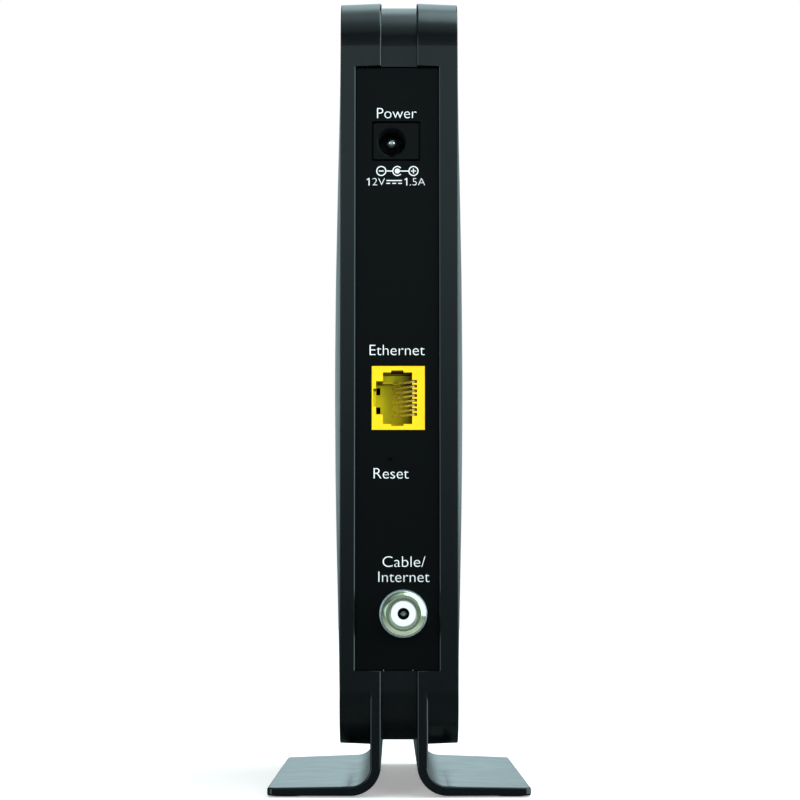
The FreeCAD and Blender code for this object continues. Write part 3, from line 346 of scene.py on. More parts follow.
def plated_metal(name, colour, roughness, stretch=(1.0, 1.0, 1.0), metallic=1.0):
    """Plating over machined metal: fine tool lines and small differences of gloss."""
    finish = Finish(name, colour, roughness, metallic)
    lines = finish.noise(0.5 * MM, 4.0, finish.stretched(stretch))
    gloss = finish.spread(lines, max(0.03, roughness - 0.06), roughness + 0.08)
    finish.link(gloss, finish.shader.inputs["Roughness"])
    finish.clouded(0.05, 2 * MM)
    finish.bump(lines, 0.002 * MM)
    return finish


def printed_ink(name, colour):
    finish = Finish(name, colour, 0.55)
    finish.clouded(0.02, 1 * MM).uneven_gloss(0.06, 0.5 * MM)
    finish.bump(finish.noise(0.08 * MM, 2.0), 0.002 * MM)
    return finish


def soft_rubber(name, colour):
    finish = Finish(name, colour, 0.78)
    finish.clouded(0.2, 3 * MM)
    finish.bump(finish.noise(0.3 * MM, 4.0), 0.03 * MM)
    return finish


def solder_mask(name, colour):
    """Green lacquer over copper: straight tracks show through as lighter, raised lines."""
    finish = Finish(name, colour, 0.32)
    node = finish.nodes.new("ShaderNodeTexBrick")
    node.inputs["Scale"].default_value = 1 / (9 * MM)
    node.inputs["Mortar Size"].default_value = 0.035
    finish.link(finish.stretched((0.0, 1.0, 1.0)), node.inputs["Vector"])
    tracks = node.outputs["Fac"]
    pads = finish.spread(finish.cells(2.4 * MM), 1.0, 0.0, 0.10, 0.16)
    lighter = [min(1.0, c * 2.2 + 0.01) for c in colour]
    traced = finish.blend(tracks, colour, lighter)
    finish.link(finish.blend(pads, traced, (0.45, 0.42, 0.30)), finish.shader.inputs["Base Color"])
    finish.bump(tracks, 0.03 * MM)
    return finish


def dress(material, *node_names):
    """Gives CAD nodes their finish."""
    for name in node_names:
        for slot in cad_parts[name].material_slots:
            slot.material = material


# ---- mesh makers --------------------------------------------------------------------------------
def new_piece(name, vertices, faces, material, slot, smooth=False):
    """Mesh object that rides on the case."""
    mesh = bpy.data.meshes.new(name)
    mesh.from_pydata(vertices, [], faces)
    mesh.materials.append(material)
    mesh.polygons.foreach_set("use_smooth", [smooth] * len(mesh.polygons))
    piece = bpy.data.objects.new(name, mesh)
    bpy.context.scene.collection.objects.link(piece)
    tidy_normals(mesh)
    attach(piece, "root")
    return piece


def tidy_normals(mesh):
    work = bmesh.new()
    work.from_mesh(mesh)
    bmesh.ops.recalc_face_normals(work, faces=work.faces)
    work.to_mesh(mesh)
    work.free()


def slab(outline, back, front):
    """Closed slab on an outline of (x, z) points, between two depths."""
    count = len(outline)
    vertices = [(x, back, z) for x, z in outline] + [(x, front, z) for x, z in outline]
    faces = [tuple(range(count)), tuple(range(2 * count - 1, count - 1, -1))]
    faces += [(i, (i + 1) % count, count + (i + 1) % count, count + i) for i in range(count)]
    return vertices, faces


def ring(centre_x, centre_z, outer, inner, back, front, start=0.0, turn=360.0, steps=48):
    """Closed flat ring, or part of one, between two depths."""
    whole = turn >= 360.0
    count = steps if whole else steps + 1
    angles = [math.radians(start + turn * i / steps) for i in range(count)]
    vertices = []
    for radius, depth in ((outer, front), (inner, front), (inner, back), (outer, back)):
        for angle in angles:
            vertices.append((centre_x + radius * math.cos(angle), depth, centre_z + radius * math.sin(angle)))
    faces = []
    for side in range(4):
        for i in range(steps):
            j = (i + 1) % count
            a, b = side * count, (side + 1) % 4 * count
            faces.append((a + i, a + j, b + j, b + i))
    if not whole:
        faces.append(tuple(side * count for side in range(4)))
        faces.append(tuple(side * count + steps for side in (3, 2, 1, 0)))
    return vertices, faces


def bar(x0, x1, z0, z1, back, front):
    return slab([(x0, z0), (x1, z0), (x1, z1), (x0, z1)], back, front)


def disc(centre_x, centre_z, radius, back, front, steps=40):
    outline = []
    for i in range(steps):
        angle = 2 * math.pi * i / steps
        outline.append((centre_x + radius * math.cos(angle), centre_z + radius * math.sin(angle)))
    return slab(outline, back, front)


def joined(parts):
    """One list of vertices and faces from several."""
    vertices, faces = [], []
    for part_vertices, part_faces in parts:
        base = len(vertices)
        vertices += part_vertices
        faces += [tuple(base + i for i in face) for face in part_faces]
    return vertices, faces


def lettering(name, text, centre, cap_height, width, ink, weight, material):
    """Raised print that faces -Y, fitted to a cap height and an overall width about its centre."""
    curve = bpy.data.curves.new(name + "_outline", "FONT")
    curve.resolution_u = 8
    curve.extrude = 0.5
    holder = bpy.data.objects.new(name + "_outline", curve)
    bpy.context.scene.collection.objects.link(holder)
    curve.body = "H"
    bpy.context.view_layer.update()
    capital = holder.dimensions.y
    curve.body = text
    bpy.context.view_layer.update()
    tall = cap_height / capital
    wide = width / holder.dimensions.x
    curve.offset = -weight / tall
    bpy.context.view_layer.update()
    outline = bpy.data.meshes.new_from_object(holder.evaluated_get(bpy.context.evaluated_depsgraph_get()))
    middle = (min(v.co.x for v in outline.vertices) + max(v.co.x for v in outline.vertices)) / 2
    vertices = []
    for vertex in outline.vertices:
        x = centre[0] + (vertex.co.x - middle) * wide
        y = centre[1] + ink * (0.5 if vertex.co.z < 0 else -1.0)
        z = centre[2] + (vertex.co.y - capital / 2) * tall
        vertices.append((x, y, z))
    faces = [tuple(face.vertices) for face in outline.polygons]
    bpy.data.objects.remove(holder)
    bpy.data.curves.remove(curve)
    bpy.data.meshes.remove(outline)
    return new_piece(name, vertices, faces, material, "insulator_white")


# ---- operators ----------------------------------------------------------------------------------
class MODEM_OT_side_shells(Operator):
    """Satin black finish of the two side shells and their feet"""

    bl_idname = "modem.side_shells"
    bl_label = "Side shells"
    bl_options = {"REGISTER", "UNDO"}

    def execute(self, context):
        finishes = context.scene.modem_finishes
        finish = satin_moulding("shell_satin", finishes.shell, finishes.shell_gloss, 0.004 * MM, 0.35 * MM)
        dress(finish.material, "left_shell", "right_shell")
        return {"FINISHED"}


class MODEM_OT_centre_band(Operator):
    """Satin black finish of the recessed band between the shells"""

    bl_idname = "modem.centre_band"
    bl_label = "Centre band"
    bl_options = {"REGISTER", "UNDO"}

    def execute(self, context):
        finishes = context.scene.modem_finishes
        roughness = finishes.shell_gloss + 0.02
        finish = satin_moulding("band_satin", finishes.band, roughness, 0.004 * MM, 0.35 * MM)
        dress(finish.material, "centre_band")
        return {"FINISHED"}


class MODEM_OT_rear_panel(Operator):
    """Finer, flatter grain of the port panel"""

    bl_idname = "modem.rear_panel"
    bl_label = "Rear panel"
    bl_options = {"REGISTER", "UNDO"}

    def execute(self, context):
        finishes = context.scene.modem_finishes
        finish = satin_moulding("panel_matt", finishes.panel, finishes.panel_gloss, 0.006 * MM, 0.22 * MM)
        finish.set("Specular IOR Level", 0.19)
        dress(finish.material, "rear_panel")
        return {"FINISHED"}


class MODEM_OT_foot_pads(Operator):
    """Rubber of the four pads under the feet"""

    bl_idname = "modem.foot_pads"
    bl_label = "Foot pads"
    bl_options = {"REGISTER", "UNDO"}

    def execute(self, context):
        finishes = context.scene.modem_finishes
        dress(soft_rubber("pad_rubber", finishes.rubber).material, "left_foot_pads", "right_foot_pads")
        return {"FINISHED"}


class MODEM_OT_network_jack(Operator):
    """Yellow network jack with its gold contacts"""

    bl_idname = "modem.network_jack"
    bl_label = "Network jack"
    bl_options = {"REGISTER", "UNDO"}

    def execute(self, context):
        finishes = context.scene.modem_finishes
        yellow = coloured_moulding("jack_yellow", finishes.jack, 0.42, 0.0)
        yellow.set("Specular IOR Level", 0.25)
        low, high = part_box("ethernet_jack")
        face, middle_z = low.y, (low.z + high.z) / 2
        inside = yellow.along("Y", face + 0.1 * MM, face + 1.3 * MM)
        # Painted light: behind the face the walls turn a lighter, greener yellow for the light inside the
        # cavity.
        yellow.turned_to(finishes.jack_inside_painted_light, inside)
        # Painted shade: the right side of the cavity, by the contacts, is painted near black.
        yellow.turned_to(finishes.jack_painted_shade, yellow.both(inside, yellow.along("X", 0.4 * MM, 2.8 * MM)))
        # Painted shade: faces inside the cavity that look down, such as its ceiling, are painted near black.
        painted_underside_shade = (0.02, 0.018, 0.003)
        yellow.turned_to(painted_underside_shade, yellow.both(inside, yellow.facing_down()))
        # Painted shade: inside the cavity, everything above a line near its top, at the notch, is painted
        # near black too.
        notch_z = middle_z + 5.45 * MM
        notch = yellow.along("Z", notch_z, notch_z + 0.2 * MM)
        yellow.turned_to(painted_underside_shade, yellow.both(inside, notch))
        dress(yellow.material, "ethernet_jack", "ethernet_insert")
        gold = plated_metal("contact_gold", finishes.gold, 0.26, (1.0, 0.1, 1.0), metallic=0.85)
        dress(gold.material, "ethernet_contacts")
        return {"FINISHED"}


class MODEM_OT_power_inlet(Operator):
    """Black power inlet with its plated centre pin and leaf"""

    bl_idname = "modem.power_inlet"
    bl_label = "Power inlet"
    bl_options = {"REGISTER", "UNDO"}

    def execute(self, context):
        finishes = context.scene.modem_finishes
        housing = satin_moulding("inlet_black", finishes.inlet, 0.36, 0.006 * MM, 0.2 * MM)
        housing.set("Specular IOR Level", 0.15)
        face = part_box("dc_jack_housing")[0].y
        # Painted light: deeper in the inlet's hole the black is painted a lighter grey, standing in for light
        # that reaches into the hole.
        housing.turned_to((0.016, 0.020, 0.022), housing.along("Y", face + 0.4 * MM, face + 2.0 * MM))
        dress(housing.material, "dc_jack_housing")
        plating = plated_metal("pin_nickel", finishes.pin, 0.14, (1.0, 4.0, 1.0))
        dress(plating.material, "dc_jack_pin", "dc_jack_spring")
        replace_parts(turned_pin(plating.material), "dc_jack_pin")
        return {"FINISHED"}


class MODEM_OT_coaxial_port(Operator):
    """Coaxial barrel with a true helical thread, its insulator, its contact and its cast foot"""

    bl_idname = "modem.coaxial_port"
    bl_label = "Coaxial port"
    bl_options = {"REGISTER", "UNDO"}

    def execute(self, context):
        finishes = context.scene.modem_finishes
        nickel = plated_metal("barrel_nickel", finishes.nickel, 0.20, (1.0, 5.0, 1.0), metallic=0.86)
        bevel = plated_metal("bevel_nickel", finishes.nickel, 0.12, (1.0, 5.0, 1.0))
        low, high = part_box("coax_barrel")
        axis_x, axis_z = (low.x + high.x) / 2, (low.z + high.z) / 2
        # The bevel is less metallic lower down, in place of the pale floor that it would mirror.
        lower_side = bevel.along("Z", axis_z + 0.5 * MM, axis_z - 3.2 * MM)
        bevel.link(bevel.spread(lower_side, 0.92, 0.30, 0.0, 1.0), bevel.shader.inputs["Metallic"])
        collar = plated_metal("collar_steel", finishes.collar, 0.24, (1.0, 5.0, 1.0), metallic=0.6)
        dress(nickel.material, "coax_block", "coax_barrel")
        white = coloured_moulding("insulator_white", finishes.insulator, 0.4, 0.0)
        # Painted shade: the insulator's bore round the contact is painted black.
        white.bore_painted_shade(axis_x, axis_z, 1.22 * MM)
        dress(white.material, "coax_insulator")
        dress(plated_metal("centre_plating", finishes.pin, 0.25).material, "coax_contact")
        materials = [nickel.material, bevel.material, collar.material]
        barrel = threaded_barrel(context.scene.modem_thread, materials)
        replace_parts(barrel, "coax_barrel")
        return {"FINISHED"}


def turned_pin(material):
    """The inlet's centre pin with a bevelled, dimpled tip, its tail and its lead to the board."""
    low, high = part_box("dc_jack_pin")
    housing_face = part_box("dc_jack_housing")[0].y
    x, z = low.x + 1.4 * MM, (low.z + high.z) / 2
    tip = low.y
    root = housing_face + 10.0 * MM
    profile = [
        (0.12, tip + 0.35 * MM), (0.24, tip + 0.03 * MM), (0.28, tip), (0.46, tip), (0.50, tip + 0.02 * MM),
        (1.04, tip + 0.50 * MM), (1.05, tip + 0.54 * MM), (1.05, root), (0.85, root), (0.85, high.y),
    ]
    columns = 48
    vertices, faces = [], []
    for radius, y in profile:
        for column in range(columns):
            angle = 2 * math.pi * column / columns
            vertices.append((x + radius * MM * math.cos(angle), y, z + radius * MM * math.sin(angle)))
    for row in range(len(profile) - 1):
        for column in range(columns):
            beside = (column + 1) % columns
            first, following = row * columns, (row + 1) * columns
            faces.append((first + column, first + beside, following + beside, following + column))
    faces.append(tuple(range(columns)))
    faces.append(tuple(range((len(profile) - 1) * columns, len(profile) * columns)))
    tail = bar(low.x, high.x - 2.8 * MM, z - 1.2 * MM, z + 1.2 * MM, high.y - 0.4 * MM, high.y + 0.1 * MM)
    lead = bar(high.x - 2.9 * MM, high.x, z - 0.4 * MM, z + 0.4 * MM, high.y - 0.4 * MM, high.y + 0.1 * MM)
    whole = joined([(vertices, faces), tail, lead])
    pin = new_piece("turned_pin", *whole, material, "barrel_nickel", smooth=True)
    sharp_edges(pin.data, 30.0)
    return pin


def threaded_barrel(thread, materials):
    """Barrel as rings of points: outside from the collar to the tip, then the mouth and the bore.

    Its materials are the thread's, the bevel's and the collar's, in that order.
    """
    low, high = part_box("coax_barrel")
    axis_x, axis_z = (low.x + high.x) / 2, (low.z + high.z) / 2
    collar = (high.x - low.x) / 2
    tip = low.y
    crest, depth, pitch = thread.crest_radius, thread.depth, thread.pitch
    bore, lip, bevel = 2.8 * MM, 3.75 * MM, 4.6 * MM
    thread_start = tip + 1.0 * MM
    shoulder = tip + 9.2 * MM
    thread_end = shoulder - 0.55 * MM
    collar_back = shoulder + 3.4 * MM
    plain = [
        (3.7 * MM, high.y), (3.7 * MM, collar_back), (collar, collar_back), (collar, shoulder + 0.25 * MM),
        (collar - 0.07 * MM, shoulder + 0.07 * MM), (collar - 0.25 * MM, shoulder),
        (crest - depth, shoulder), (crest - depth, thread_end + 0.1 * MM),
    ]
    rows = [(radius, y, 0.0, 2) for radius, y in plain]
    count = int((thread_end - thread_start) / pitch * thread.rows_per_pitch)
    for i in range(count + 1):
        y = thread_end + (thread_start - thread_end) * i / count
        rows.append((crest, y, depth, 0))
    rows += [
        (bevel + 0.03 * MM, tip + bevel - lip + 0.05 * MM, 0.0, 1),
        (bevel - 0.04 * MM, tip + bevel - lip - 0.06 * MM, 0.0, 1),
        (lip + 0.05 * MM, tip + 0.03 * MM, 0.0, 1),
    ]
    front = [
        (lip - 0.05 * MM, tip), (bore + 0.15 * MM, tip), (bore + 0.04 * MM, tip + 0.04 * MM),
        (bore, tip + 0.15 * MM), (bore, high.y),
    ]
    rows += [(radius, y, 0.0, 0) for radius, y in front]
    vertices = []
    for radius, y, cut, _ in rows:
        for column in range(thread.columns):
            angle = 2 * math.pi * column / thread.columns
            groove = 0.0
            if cut:
                turn = ((y - thread_start) / pitch + column / thread.columns) % 1.0
                valley = max(0.0, min(1.0, (0.5 - abs(turn - 0.5)) * 2.6 - 0.15))
                fade = min(1.0, (y - thread_start) / pitch * 1.5, (thread_end - y) / pitch * 1.5 + 0.4)
                groove = cut * valley * max(0.0, fade)
            r = radius - groove
            vertices.append((axis_x + r * math.cos(angle), y, axis_z + r * math.sin(angle)))
    faces = []
    columns = thread.columns
    for row in range(len(rows)):
        following = (row + 1) % len(rows)
        for column in range(columns):
            beside = (column + 1) % columns
            first, second = row * columns, following * columns
            faces.append((first + column, first + beside, second + beside, second + column))
    barrel = new_piece("threaded_barrel", vertices, faces, materials[0], "barrel_nickel", smooth=True)
    for material in materials[1:]:
        barrel.data.materials.append(material)
    for i, face in enumerate(barrel.data.polygons):
        face.material_index = rows[i // columns][3]
    sharp_edges(barrel.data, 32.0)
    return barrel


def sharp_edges(mesh, angle):
    """Smooth faces, but with crisp edges where they turn by more than angle degrees."""
    work = bmesh.new()
    work.from_mesh(mesh)
    for edge in work.edges:
        edge.smooth = edge.calc_face_angle(0.0) < math.radians(angle)
    work.to_mesh(mesh)
    work.free()


class MODEM_OT_port_marks(Operator):
    """White print beside the ports: plain function words, the rating and the polarity symbol"""

    bl_idname = "modem.port_marks"
    bl_label = "Port marks"
    bl_options = {"REGISTER", "UNDO"}

    def execute(self, context):
        finishes = context.scene.modem_finishes
        marks = context.scene.modem_marks
        white = printed_ink("print_white", finishes.print_white).material
        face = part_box("rear_panel")[0].y
        inlet_low, inlet_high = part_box("dc_jack_housing")
        jack_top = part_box("ethernet_jack")[1].z
        coax_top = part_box("coax_barrel")[1].z
        reset_low, reset_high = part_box("reset_plunger")
        reset_z = (reset_low.z + reset_high.z) / 2
        words = [
            ("mark_power", "Power", -0.5, inlet_high.z + 1.60 * MM, 8.72),
            ("mark_ethernet", "Ethernet", -0.4, jack_top + 3.5 * MM, 12.0),
            ("mark_reset", "Reset", -1.7, reset_z - 2.8 * MM, 7.65),
            ("mark_cable", "Cable/", 1.05, coax_top + 6.0 * MM, 9.3),
            ("mark_internet", "Internet", 1.05, coax_top + 2.75 * MM, 11.1),
        ]
        for name, text, x, z, width in words:
            centre = (x * MM, face, z)
            lettering(name, text, centre, marks.cap_height, width * MM, marks.ink, marks.weight, white)
        symbol_z = inlet_low.z - 2.0 * MM
        self.polarity(marks, white, face, symbol_z)
        self.rating(marks, white, face, symbol_z - 2.35 * MM)
        return {"FINISHED"}

    def polarity(self, marks, white, face, z):
        """Minus ring, dot in an open ring, plus ring, joined by two lines."""
        back, front = face + marks.ink / 2, face - marks.ink
        r, pitch, x = marks.ring_radius, marks.symbol_pitch, -0.38 * MM
        stroke = 0.22 * MM
        left, right = x - pitch, x + pitch
        sign = r * 0.48
        half = stroke / 2
        parts = [
            ring(left, z, r, r - stroke, back, front),
            ring(right, z, r, r - stroke, back, front),
            ring(x, z, r, r - stroke, back, front, start=42, turn=276),
            disc(x, z, r * 0.5, back, front),
            bar(left + r - 0.02 * MM, x - r + 0.02 * MM, z - half, z + half, back, front),
            bar(x + r * 0.45, right - r + 0.02 * MM, z - half, z + half, back, front),
            bar(left - sign, left + sign, z - half, z + half, back, front),
            bar(right - sign, right + sign, z - half, z + half, back, front),
            bar(right - half, right + half, z - sign, z + sign, back, front),
        ]
        new_piece("mark_polarity", *joined(parts), white, "insulator_white")

    def rating(self, marks, white, face, z):
        """Volts, the direct-current sign and amperes."""
        size = marks.rating_height
        back, front = face + marks.ink / 2, face - marks.ink
        lettering("mark_volts", "2V", (-4.44 * MM, face, z), size, 2.85 * MM, marks.ink, marks.weight, white)
        lettering("mark_amperes", ".5A", (4.01 * MM, face, z), size, 3.4 * MM, marks.ink, marks.weight, white)
        half = size / 2
        figure = [
            (0.08, -half / MM), (0.30, -half / MM), (0.30, half / MM), (0.12, half / MM),
            (-0.33, half / MM - 0.30), (-0.24, half / MM - 0.46), (0.08, half / MM - 0.26),
        ]
        ones = []
        for x in (-6.72, 1.48):
            ones.append(slab([((x + dx) * MM, z + dz * MM) for dx, dz in figure], back, front))
        new_piece("mark_ones", *joined(ones), white, "insulator_white")
        x0, x1 = -2.75 * MM, 0.61 * MM
        dash = (x1 - x0) / 4.2
        parts = [bar(x0, x1, z + 0.15 * MM, z + 0.37 * MM, back, front)]
        for i in range(3):
            start = x0 + i * (x1 - x0 - dash) / 2
            parts.append(bar(start, start + dash, z - 0.46 * MM, z - 0.26 * MM, back, front))
        new_piece("mark_direct_current", *joined(parts), white, "insulator_white")


class MODEM_OT_front_lights(Operator):
    """Smoked front lens with plain signs, and the light guide and lights behind it"""

    bl_idname = "modem.front_lights"
    bl_label = "Front lights"
    bl_options = {"REGISTER", "UNDO"}

    def execute(self, context):
        finishes = context.scene.modem_finishes
        smoked = Finish("lens_smoked", (0.006, 0.006, 0.008), 0.07)
        smoked.set("Coat Weight", 0.5).set("Coat Roughness", 0.03)
        smoked.uneven_gloss(0.03, 6 * MM)
        smoked.bump(smoked.noise(4 * MM, 2.0), 0.003 * MM)
        dress(smoked.material, "front_lens")
        clear = coloured_moulding("guide_clear", (0.80, 0.83, 0.84), 0.15, 0.4)
        dress(clear.material, "light_guide")
        lamp = coloured_moulding("light_body", (0.92, 0.90, 0.72), 0.4, 0.3)
        dress(lamp.material, "status_leds")
        self.signs(finishes, context.scene.modem_marks)
        return {"FINISHED"}

    def signs(self, finishes, marks):
        """Five plain signs down the lens: power, down, up, line and link."""
        ink = printed_ink("sign_grey", tuple(c * 0.55 for c in finishes.print_white)).material
        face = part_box("front_lens")[1].y
        low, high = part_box("status_leds")
        pitch = (high.z - low.z - 1.6 * MM) / 4
        top = high.z - 0.8 * MM
        back, front = face - marks.ink, face + marks.ink / 2
        r = marks.icon_radius
        stroke = 0.24 * MM
        power = [
            ring(0, top, r, r - stroke, back, front, start=125, turn=290),
            bar(-stroke / 2, stroke / 2, top + 0.1 * r, top + 1.1 * r, back, front),
        ]
        down = self.arrow(top - pitch, r, -1, back, front)
        up = self.arrow(top - 2 * pitch, r, 1, back, front)
        line_z = top - 3 * pitch
        line = [
            ring(0, line_z, r, r - stroke, back, front),
            bar(-r * 0.85, r * 0.85, line_z - stroke / 2, line_z + stroke / 2, back, front),
            bar(-stroke / 2, stroke / 2, line_z - r * 0.85, line_z + r * 0.85, back, front),
        ]
        link_z = top - 4 * pitch
        link = [
            bar(-r, -0.15 * r, link_z + 0.15 * r, link_z + r, back, front),
            bar(0.15 * r, r, link_z - r, link_z - 0.15 * r, back, front),
            bar(-0.7 * r, -0.7 * r + stroke, link_z - 0.7 * r, link_z + 0.2 * r, back, front),
            bar(-0.7 * r, 0.2 * r, link_z - 0.7 * r, link_z - 0.7 * r + stroke, back, front),
        ]
        for name, parts in (("power", power), ("down", down), ("up", up), ("line", line), ("link", link)):
            new_piece("sign_" + name, *joined(parts), ink, "insulator_white")

    def arrow(self, z, r, way, back, front):
        stem = 0.28 * r
        head = [(-0.8 * r, z + way * 0.05 * r), (0.8 * r, z + way * 0.05 * r), (0, z + way * r)]
        shaft = sorted((z - way * r, z + way * 0.1 * r))
        return [slab(head, back, front), bar(-stem, stem, shaft[0], shaft[1], back, front)]


class MODEM_OT_reset_switch(Operator):
    """Reset switch behind the pin hole"""

    bl_idname = "modem.reset_switch"
    bl_label = "Reset switch"
    bl_options = {"REGISTER", "UNDO"}

    def execute(self, context):
        body = satin_moulding("switch_black", (0.010, 0.010, 0.011), 0.45, 0.008 * MM, 0.2 * MM)
        dress(body.material, "reset_switch_body")
        stem = satin_moulding("plunger_grey", (0.05, 0.05, 0.052), 0.4, 0.004 * MM, 0.2 * MM)
        dress(stem.material, "reset_plunger")
        dress(plated_metal("disc_steel", (0.62, 0.62, 0.63), 0.3).material, "reset_dome")
        return {"FINISHED"}


class MODEM_OT_board(Operator):
    """Main board and everything that stands on it"""

    bl_idname = "modem.board"
    bl_label = "Main board"
    bl_options = {"REGISTER", "UNDO"}

    def execute(self, context):
        finishes = context.scene.modem_finishes
        dress(solder_mask("board_green", finishes.board).material, "main_board")
        package = satin_moulding("package_black", (0.012, 0.012, 0.013), 0.55, 0.006 * MM, 0.12 * MM)
        dress(package.material, "soc_chip", "memory_chip", "flash_chip", "tuner_chip", "ethernet_transformer")
        dress(soft_rubber("pad_grey", (0.30, 0.33, 0.38)).material, "thermal_pad")
        dress(plated_metal("sink_aluminium", (0.66, 0.67, 0.69), 0.34, (4.0, 4.0, 0.2)).material, "heat_sink")
        dress(plated_metal("pin_brass", (0.75, 0.60, 0.30), 0.3).material, "heat_sink_pins")
        tin = plated_metal("shield_tin", (0.70, 0.70, 0.69), 0.38, (1.0, 0.3, 3.0)).material
        dress(tin, "tuner_shield_frame", "tuner_shield_lid", "crystal")
        dress(plated_metal("screw_steel", (0.62, 0.62, 0.63), 0.3).material, "board_screws")
        dress(plated_metal("can_aluminium", (0.72, 0.72, 0.74), 0.26).material, "capacitors")
        dress(satin_moulding("ferrite", (0.06, 0.06, 0.065), 0.6, 0.02 * MM, 0.3 * MM).material, "inductors")
        ceramic = satin_moulding("ceramic", (0.28, 0.21, 0.13), 0.5, 0.01 * MM, 0.2 * MM)
        dress(ceramic.material, "small_passives")
        return {"FINISHED"}


class MODEM_OT_stage(Operator):
    """Pale floor, soft studio light and the camera"""

    bl_idname = "modem.stage"
    bl_label = "Stage"
    bl_options = {"REGISTER", "UNDO"}

    def execute(self, context):
        scene = context.scene
        stage = context.scene.modem_stage
        self.floor(stage)
        self.surroundings(scene)
        softbox("softbox_left", (-0.42, -1.17, 0.46), (0.5, 0.5), stage.softbox_power)
        softbox("softbox_right", (0.42, -1.17, 0.46), (0.5, 0.5), stage.softbox_power)
        softbox("softbox_top", (0.0, 0.15, 1.3), (1.2, 1.2), stage.top_power)
        self.camera(scene, stage)
        scene.view_settings.view_transform = "Standard"
        return {"FINISHED"}

    def floor(self, stage):
        finish = Finish("floor_white", stage.floor, 0.6)
        finish.set("Emission Color", (1.0, 1.0, 1.0, 1.0)).set("Emission Strength", 0.35)
        finish.clouded(0.01, 0.3)
        finish.bump(finish.noise(0.02, 3.0), 0.0002)
        reach = 4.0
        corners = [(-reach, -reach, 0.0), (reach, -reach, 0.0), (reach, reach, 0.0), (-reach, reach, 0.0)]
        mesh = bpy.data.meshes.new("floor")
        mesh.from_pydata(corners, [], [(0, 1, 2, 3)])
        mesh.materials.append(finish.material)
        floor = bpy.data.objects.new("floor", mesh)
        bpy.context.scene.collection.objects.link(floor)
        floor.visible_glossy = False

    def surroundings(self, scene):
        """White all round to the eye; what lights the object and mirrors in it is a studio of soft panels."""
        world = bpy.data.worlds.new("studio")
        world.use_nodes = True
        scene.world = world
        self.nodes, self.links = world.node_tree.nodes, world.node_tree.links
        background = self.nodes["Background"]
        background.inputs["Strength"].default_value = PEAK
        direction = self.nodes.new("ShaderNodeTexCoord").outputs["Generated"]
        split = self.nodes.new("ShaderNodeSeparateXYZ")
        self.links.new(direction, split.inputs["Vector"])
        height = self.ranged(split.outputs["Z"], -1.0, 1.0, "LINEAR")
        front = self.banded(height, FRONT_BANDS)
        back = self.banded(height, BACK_BANDS)
        back = self.blended(self.ranged(self.size_of(split.outputs["X"]), 0.02, 0.20), back, 0.12)
        studio = self.blended(self.ranged(split.outputs["Y"], -0.10, 0.10), front, back)
        for axis, inner, outer, value, reach in PANELS:
            facing = self.nodes.new("ShaderNodeVectorMath")
            facing.operation = "DOT_PRODUCT"
            facing.inputs[1].default_value = Vector(axis).normalized()
            self.links.new(direction, facing.inputs[0])
            aimed = self.ranged(facing.outputs["Value"], outer, inner)
            beside = self.ranged(self.size_of(split.outputs["Y"]), reach, reach - PANEL_EDGE)
            studio = self.blended(self.product(aimed, beside), studio, value)
        path = self.nodes.new("ShaderNodeLightPath")
        studio = self.blended(path.outputs["Is Diffuse Ray"], studio, AMBIENT)
        seen = self.blended(path.outputs["Is Camera Ray"], studio, (1.0, 1.0, 1.0))
        self.links.new(seen, background.inputs["Color"])

    def ranged(self, value, low, high, interpolation="SMOOTHSTEP"):
        """0 at low and 1 at high, eased at both ends unless it is linear."""
        node = self.nodes.new("ShaderNodeMapRange")
        node.interpolation_type = interpolation
        node.inputs["From Min"].default_value = low
        node.inputs["From Max"].default_value = high
        self.links.new(value, node.inputs["Value"])
        return node.outputs["Result"]

    def size_of(self, value):
        """The value without its sign."""
        node = self.nodes.new("ShaderNodeMath")
        node.operation = "ABSOLUTE"
        self.links.new(value, node.inputs[0])
        return node.outputs[0]

    def product(self, first, second):
        node = self.nodes.new("ShaderNodeMath")
        node.operation = "MULTIPLY"
        self.links.new(first, node.inputs[0])
        self.links.new(second, node.inputs[1])
        return node.outputs[0]

    def blended(self, factor, first, second):
        """From first to second: each is a socket, a brightness in the studio's tint, or a colour."""
        node = self.nodes.new("ShaderNodeMix")
        node.data_type = "RGBA"
        self.links.new(factor, node.inputs["Factor"])
        for socket, value in ((node.inputs[6], first), (node.inputs[7], second)):
            if isinstance(value, bpy.types.NodeSocket):
                self.links.new(value, socket)
            else:
                colour = value if isinstance(value, tuple) else [value * tint for tint in STUDIO_TINT]
                socket.default_value = (*[c / PEAK for c in colour], 1.0)
        return node.outputs[2]

    def banded(self, height, bands):
        """Brightness at each elevation, in degrees from straight down to straight up."""
        node = self.nodes.new("ShaderNodeValToRGB")
        self.links.new(height, node.inputs["Fac"])
        elements = node.color_ramp.elements
        elements.remove(elements[1])
        for i, (elevation, value) in enumerate(bands):
            position = (math.sin(math.radians(elevation)) + 1) / 2
            element = elements[0] if i == 0 else elements.new(position)
            element.position = position
            element.color = (*[value * tint / PEAK for tint in STUDIO_TINT], 1.0)
        return node.outputs["Color"]

    def camera(self, scene, stage):
        data = bpy.data.cameras.new("camera")
        data.lens = stage.lens
        data.sensor_width = 36.0
        data.clip_start = 0.01
        data.clip_end = 20.0
        camera = bpy.data.objects.new("camera", data)
        scene.collection.objects.link(camera)
        pitch, yaw = stage.camera_pitch, stage.camera_yaw
        look = Vector((math.sin(yaw) * math.cos(pitch), math.cos(yaw) * math.cos(pitch), math.sin(pitch)))
        camera.rotation_mode = "QUATERNION"
        camera.rotation_quaternion = look.to_track_quat("-Z", "Y")
        camera.location = stage.camera_place
        scene.camera = camera


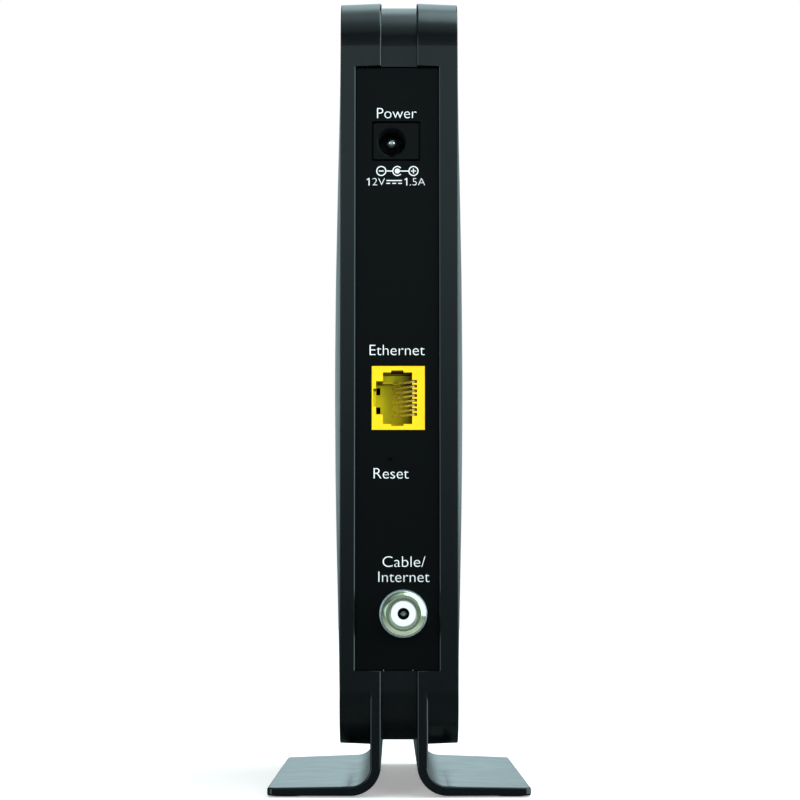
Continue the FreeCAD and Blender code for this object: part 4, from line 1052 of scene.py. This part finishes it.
def softbox(name, place, size, power):
    """Rectangular area light that faces the middle of the object."""
    data = bpy.data.lights.new(name, "AREA")
    data.shape = "RECTANGLE"
    data.size, data.size_y = size
    data.energy = power
    lamp = bpy.data.objects.new(name, data)
    bpy.context.scene.collection.objects.link(lamp)
    lamp.location = place
    aim = Vector(SOFTBOX_AIM) - Vector(place)
    lamp.rotation_mode = "QUATERNION"
    lamp.rotation_quaternion = aim.to_track_quat("-Z", "Y")
    lamp.visible_camera = False
    lamp.visible_glossy = False


# ---- sidebar ------------------------------------------------------------------------------------
OPERATORS = [
    MODEM_OT_side_shells,
    MODEM_OT_centre_band,
    MODEM_OT_rear_panel,
    MODEM_OT_foot_pads,
    MODEM_OT_network_jack,
    MODEM_OT_power_inlet,
    MODEM_OT_coaxial_port,
    MODEM_OT_port_marks,
    MODEM_OT_front_lights,
    MODEM_OT_reset_switch,
    MODEM_OT_board,
    MODEM_OT_stage,
]


class MODEM_PT_sidebar(Panel):
    """Buttons that build each part of the modem, and its settings"""

    bl_idname = "MODEM_PT_sidebar"
    bl_label = "Cable modem"
    bl_space_type = "VIEW_3D"
    bl_region_type = "UI"
    bl_category = "Modem"

    def draw(self, context):
        layout = self.layout
        for operator in OPERATORS:
            layout.operator(operator.bl_idname)
        for attribute, group in SETTINGS.items():
            box = layout.box()
            settings = getattr(context.scene, attribute)
            for field in group.__annotations__:
                box.prop(settings, field)


CLASSES = [*SETTINGS.values(), *OPERATORS, MODEM_PT_sidebar]


def register():
    for each in CLASSES:
        bpy.utils.register_class(each)
    for attribute, group in SETTINGS.items():
        setattr(bpy.types.Scene, attribute, PointerProperty(type=group))


def unregister():
    for attribute in SETTINGS:
        delattr(bpy.types.Scene, attribute)
    for each in reversed(CLASSES):
        bpy.utils.unregister_class(each)


def main():
    register()
    bpy.ops.modem.side_shells()
    bpy.ops.modem.centre_band()
    bpy.ops.modem.rear_panel()
    bpy.ops.modem.foot_pads()
    bpy.ops.modem.network_jack()
    bpy.ops.modem.power_inlet()
    bpy.ops.modem.coaxial_port()
    bpy.ops.modem.port_marks()
    bpy.ops.modem.front_lights()
    bpy.ops.modem.reset_switch()
    bpy.ops.modem.board()
    bpy.ops.modem.stage()


if __name__ == "__main__":
    main()
